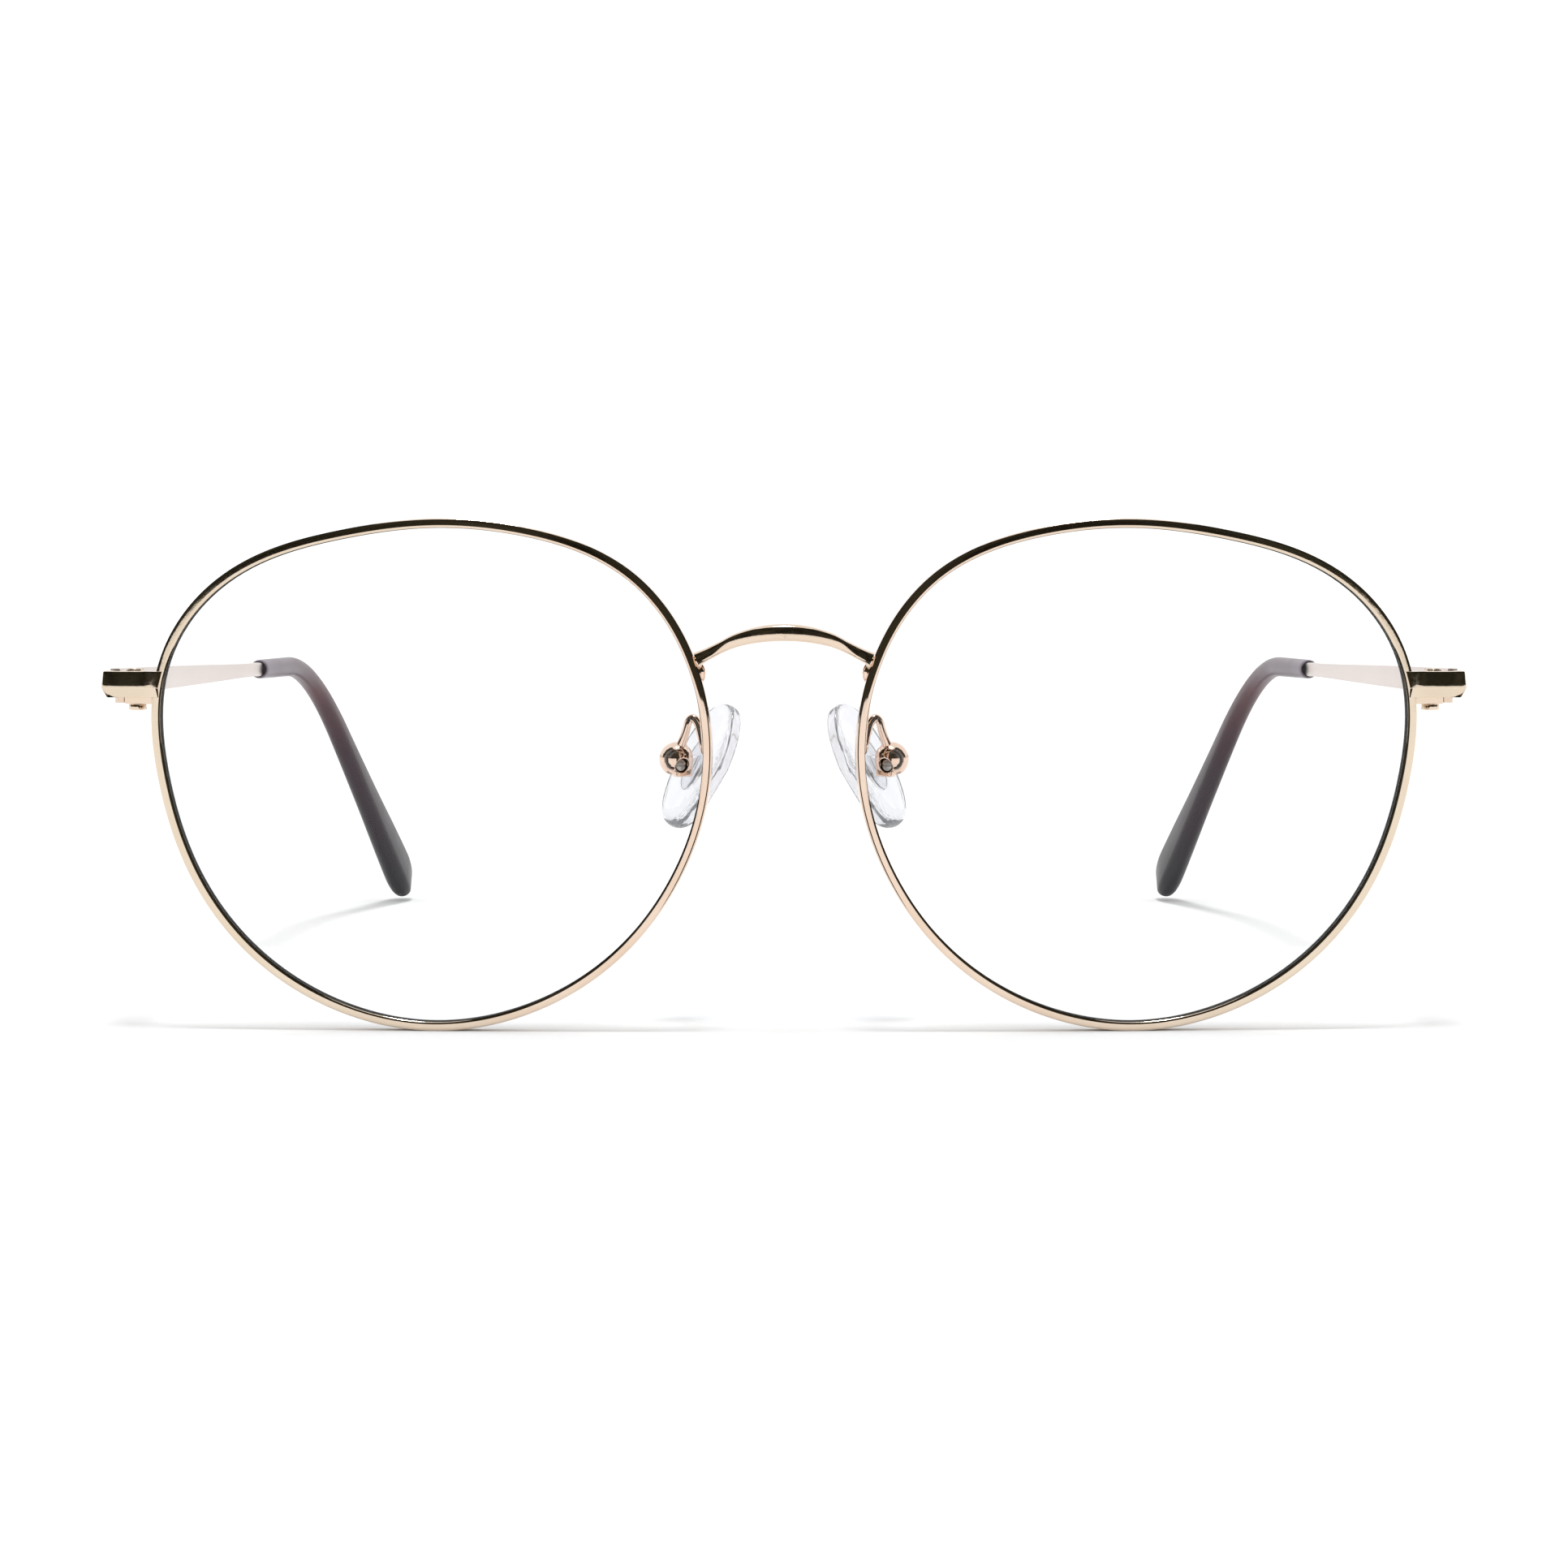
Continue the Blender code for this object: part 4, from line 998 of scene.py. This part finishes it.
PAD_FRAME = Matrix.Translation(PAD_AXIS) @ Matrix.Rotation(-PAD_SPLAY, 4, "Z")
PAD_TURN = PAD_FRAME @ Matrix.Rotation(-PAD_TILT, 4, "Y")
PAD_CENTRE = PAD_TURN @ Matrix.Translation((-PAD_STANDOFF, 0.0, PAD_RISE))
UPRIGHT = Matrix.Rotation(math.radians(90.0), 4, "X")
ALONG_X = Matrix.Rotation(math.radians(90.0), 4, "Y")


def oval(grow, low, high, count=72):
    outline = []
    for i in range(count):
        angle = 2.0 * math.pi * i / count
        outline.append(((0.5 * INSERT_LONG + grow) * math.cos(angle),
                        (0.5 * INSERT_WIDE + grow) * math.sin(angle)))
    return moved(prism(outline, low, high), ALONG_X)


def nose_pad():
    work = bmesh.new()
    bmesh.ops.create_uvsphere(work, u_segments=72, v_segments=44, radius=1.0)
    for vert in work.verts:
        wide = math.copysign(abs(vert.co.y) ** PAD_SIDE_POWER, vert.co.y)
        flat = math.copysign(abs(vert.co.x) ** PAD_FACE_POWER, vert.co.x)
        if vert.co.x > 0.0:
            flat = math.tanh(PAD_BACK_FLATNESS * flat) / math.tanh(PAD_BACK_FLATNESS) * 0.98
        belly = 1.0 - PAD_TAPER * vert.co.z
        vert.co.x = 0.5 * PAD_THICK * flat
        if vert.co.y < 0.0 and vert.co.z < 0.0:
            belly *= 1.0 - PAD_TUCK * math.sin(math.pi * min(-vert.co.z, 0.9) / 0.9) ** 0.8
        vert.co.y = 0.5 * PAD_WIDTH * wide * belly
        tall = math.copysign(abs(vert.co.z) ** PAD_END_POWER, vert.co.z)
        vert.co.z = 0.5 * PAD_LENGTH * tall
    mesh = mesh_from(work, "pad")
    pocket = oval(GAP, 0.5 * PAD_THICK - PAD_POCKET_DEPTH, 0.5 * PAD_THICK + 1.0)
    return moved(joined(mesh, pocket, "DIFFERENCE"), PAD_CENTRE)


def pad_insert():
    low = 0.5 * PAD_THICK - PAD_POCKET_DEPTH + GAP
    mesh = softened(oval(0.0, low, 0.5 * PAD_THICK - GAP), 0.08)
    mesh = moved(mesh, PAD_CENTRE)
    outline = [(LUG_R * math.cos(a), LUG_R * math.sin(a))
               for a in [math.radians(-90.0 + 180.0 * i / 24) for i in range(25)]]
    tab = prism(outline + [(-1.2, LUG_R), (-1.2, -LUG_R)], -0.5 * LUG_THICK, 0.5 * LUG_THICK)
    tab = moved(moved(tab, UPRIGHT), PAD_FRAME @ Matrix.Rotation(-0.05, 4, "Y"))
    back = PAD_STANDOFF - low - GAP
    neck = prism([(-back, PAD_RISE - 1.3), (-back, PAD_RISE + 1.3), (-0.9, LUG_R * 0.95),
                  (-0.9, -LUG_R * 0.75)], -0.49 * LUG_THICK, 0.49 * LUG_THICK)
    neck = moved(moved(neck, UPRIGHT), PAD_TURN)
    mesh = joined(joined(mesh, neck, "UNION"), tab, "UNION")
    bore = moved(turned([(LUG_BORE_R, 2.0), (LUG_BORE_R, -2.0)]), PAD_FRAME @ UPRIGHT)
    return joined(mesh, bore, "DIFFERENCE")


def pad_box():
    """Cast box: a ball at the back, a slotted block in front, a bore for the screw."""
    mesh = ball(BOX_BALL_R, BOX_BALL_CENTRE)
    mesh = joined(mesh, block(*BOX_BALL_CUT), "DIFFERENCE")
    mesh = joined(mesh, softened(block(*BOX_BLOCK), 0.2), "UNION")
    mesh = joined(mesh, block(*BOX_SLOT), "DIFFERENCE")
    mesh = joined(mesh, moved(turned(BOX_HEAD_BORE), UPRIGHT), "DIFFERENCE")
    shank_bore = moved(turned([(LUG_BORE_R, 2.5), (LUG_BORE_R, -3.0)]), UPRIGHT)
    mesh = joined(mesh, shank_bore, "DIFFERENCE")
    return moved(cast(mesh, BOX_GRAIN, 4), PAD_FRAME)


def pad_screw():
    mesh = screw(head_r=0.61, shank_r=0.47, head_low=-1.34, head_high=-0.80, tip=1.44,
                 slot_width=0.2, slot_depth=0.2)
    return moved(mesh, PAD_FRAME @ Matrix.Rotation(math.radians(-90.0), 4, "X"))


def pad_arm():
    centre = PAD_FRAME @ BOX_BALL_CENTRE
    near = Vector(ARM_POINTS[-1])
    end = centre + (near - centre).normalized() * (BOX_BALL_R - 0.25)
    path = smooth_chain(list(ARM_POINTS) + [end], 7)
    rings = []
    count = len(path)
    side = Vector((0.0, 1.0, 0.0))
    for i, centre in enumerate(path):
        along = (path[min(i + 1, count - 1)] - path[max(i - 1, 0)]).normalized()
        side = (side - along * side.dot(along)).normalized()
        up = along.cross(side)
        start = min(1.0, i / 6.0)
        swell = 1.0 + 0.35 * (1.0 - start) ** 2
        close = min(1.0, (count - 1 - i) / 6.0)
        swell *= 1.0 + 0.30 * (1.0 - close) ** 2
        radius = ARM_WIRE_R * ARM_WIRE_SLIM * swell
        ring = []
        for k in range(24):
            angle = 2.0 * math.pi * k / 24
            ring.append(centre + (side * math.cos(angle) + up * math.sin(angle)) * radius)
        rings.append(ring)
    foot = ball(FOOT_R, FOOT_CENTRE, FOOT_SCALE)
    return joined(lofted(rings, "pad_arm"), foot, "UNION")


place_pair("pad_arm", pad_arm(), rose, FRONT_BODY)
place_pair("pad_box", pad_box(), rose, FRONT_BODY, sharp=60.0)
place_pair("pad_screw", pad_screw(), screw_metal, FRONT_BODY)
place_pair("pad_insert", pad_insert(), insert_clear, "pad_SIDE_side")
place_pair("nose_pad", nose_pad(), silicone, "pad_SIDE_side")

# ---------------------------------------------------------------- studio


def sheet(name, corners, faces, material):
    mesh = bpy.data.meshes.new(name)
    mesh.from_pydata(corners, [], faces)
    mesh.materials.append(material)
    item = bpy.data.objects.new(name, mesh)
    bpy.context.scene.collection.objects.link(item)
    return item


def only_in_reflections(item):
    item.visible_camera = False
    item.visible_diffuse = False
    item.visible_shadow = False
    item.visible_volume_scatter = False


def glow(name, colour, strength):
    """Card seen in the metal, with slow clouds of light across it."""
    n = Nodes(name)
    n.tree.nodes.remove(n.shader)
    cloud = n.noise(5.0, 2.0)
    shine = n.add("ShaderNodeEmission", {"Color": colour})
    n.feed(shine.inputs["Strength"], n.spread(cloud, 0.4 * strength, 1.6 * strength, 0.35, 0.65))
    n.feed(n.tree.nodes["Material Output"].inputs["Surface"], shine.outputs[0])
    return n.material


floor_paint = Nodes("pale_floor")
grain = floor_paint.noise(30.0, 3.0)
paint_tone = floor_paint.blend(grain, rgb(0.730, 0.730, 0.730), rgb(0.734, 0.734, 0.735))
floor_paint.set(Base_Color=paint_tone, Roughness=0.9, Specular_IOR_Level=0.0)
sheet("floor", [(-FLOOR_HALF, -FLOOR_HALF, 0.0), (FLOOR_HALF, -FLOOR_HALF, 0.0),
                (FLOOR_HALF, FLOOR_HALF, 0.0), (-FLOOR_HALF, FLOOR_HALF, 0.0)],
      [(0, 1, 2, 3)], floor_paint.material)

dark_card = glow("dark_card", rgb(0.9, 0.85, 0.6), 0.030)
wall_points = []
for radius, height in WALL_LEVELS:
    for i in range(WALL_STEPS + 1):
        turn = math.radians(-WALL_REACH + 2.0 * WALL_REACH * i / WALL_STEPS)
        wall_points.append((radius * math.sin(turn), FRONT_Y - radius * math.cos(turn), height))
row = WALL_STEPS + 1
wall_faces = [(k * row + i, k * row + i + 1, (k + 1) * row + i + 1, (k + 1) * row + i)
              for k in range(len(WALL_LEVELS) - 1) for i in range(WALL_STEPS)]
only_in_reflections(sheet("dark_wall", wall_points, wall_faces, dark_card))
only_in_reflections(sheet("dark_divider", [
    (0.0, FRONT_Y - DIVIDER_NEAR, 0.0), (0.0, FRONT_Y - DIVIDER_FAR, 0.0),
    (0.0, FRONT_Y - DIVIDER_FAR, DIVIDER_TOP), (0.0, FRONT_Y - DIVIDER_NEAR, DIVIDER_TOP)],
    [(0, 1, 2, 3)], dark_card))

world = bpy.data.worlds.new("studio")
bpy.context.scene.world = world
world.use_nodes = True
backdrop = world.node_tree.nodes["Background"]
backdrop.inputs["Color"].default_value = rgb(1.0, 1.0, 1.0)
backdrop.inputs["Strength"].default_value = WORLD_LIGHT

key_data = bpy.data.lights.new("overhead", "SUN")
key_data.energy = SUN_LIGHT
key_data.angle = SUN_WIDTH
key = bpy.data.objects.new("overhead", key_data)
key.rotation_euler = (SUN_TILT, 0.0, 0.0)
bpy.context.scene.collection.objects.link(key)

camera_data = bpy.data.cameras.new("camera")
camera_data.lens = CAMERA_LENS
camera_data.sensor_width = 36.0
camera_data.clip_start = 0.01
camera_data.clip_end = 50.0
camera = bpy.data.objects.new("camera", camera_data)
camera.location = CAMERA_PLACE
camera.rotation_euler = (CAMERA_PITCH, 0.0, 0.0)
bpy.context.scene.collection.objects.link(camera)
bpy.context.scene.camera = camera
bpy.context.scene.view_settings.view_transform = "Standard"
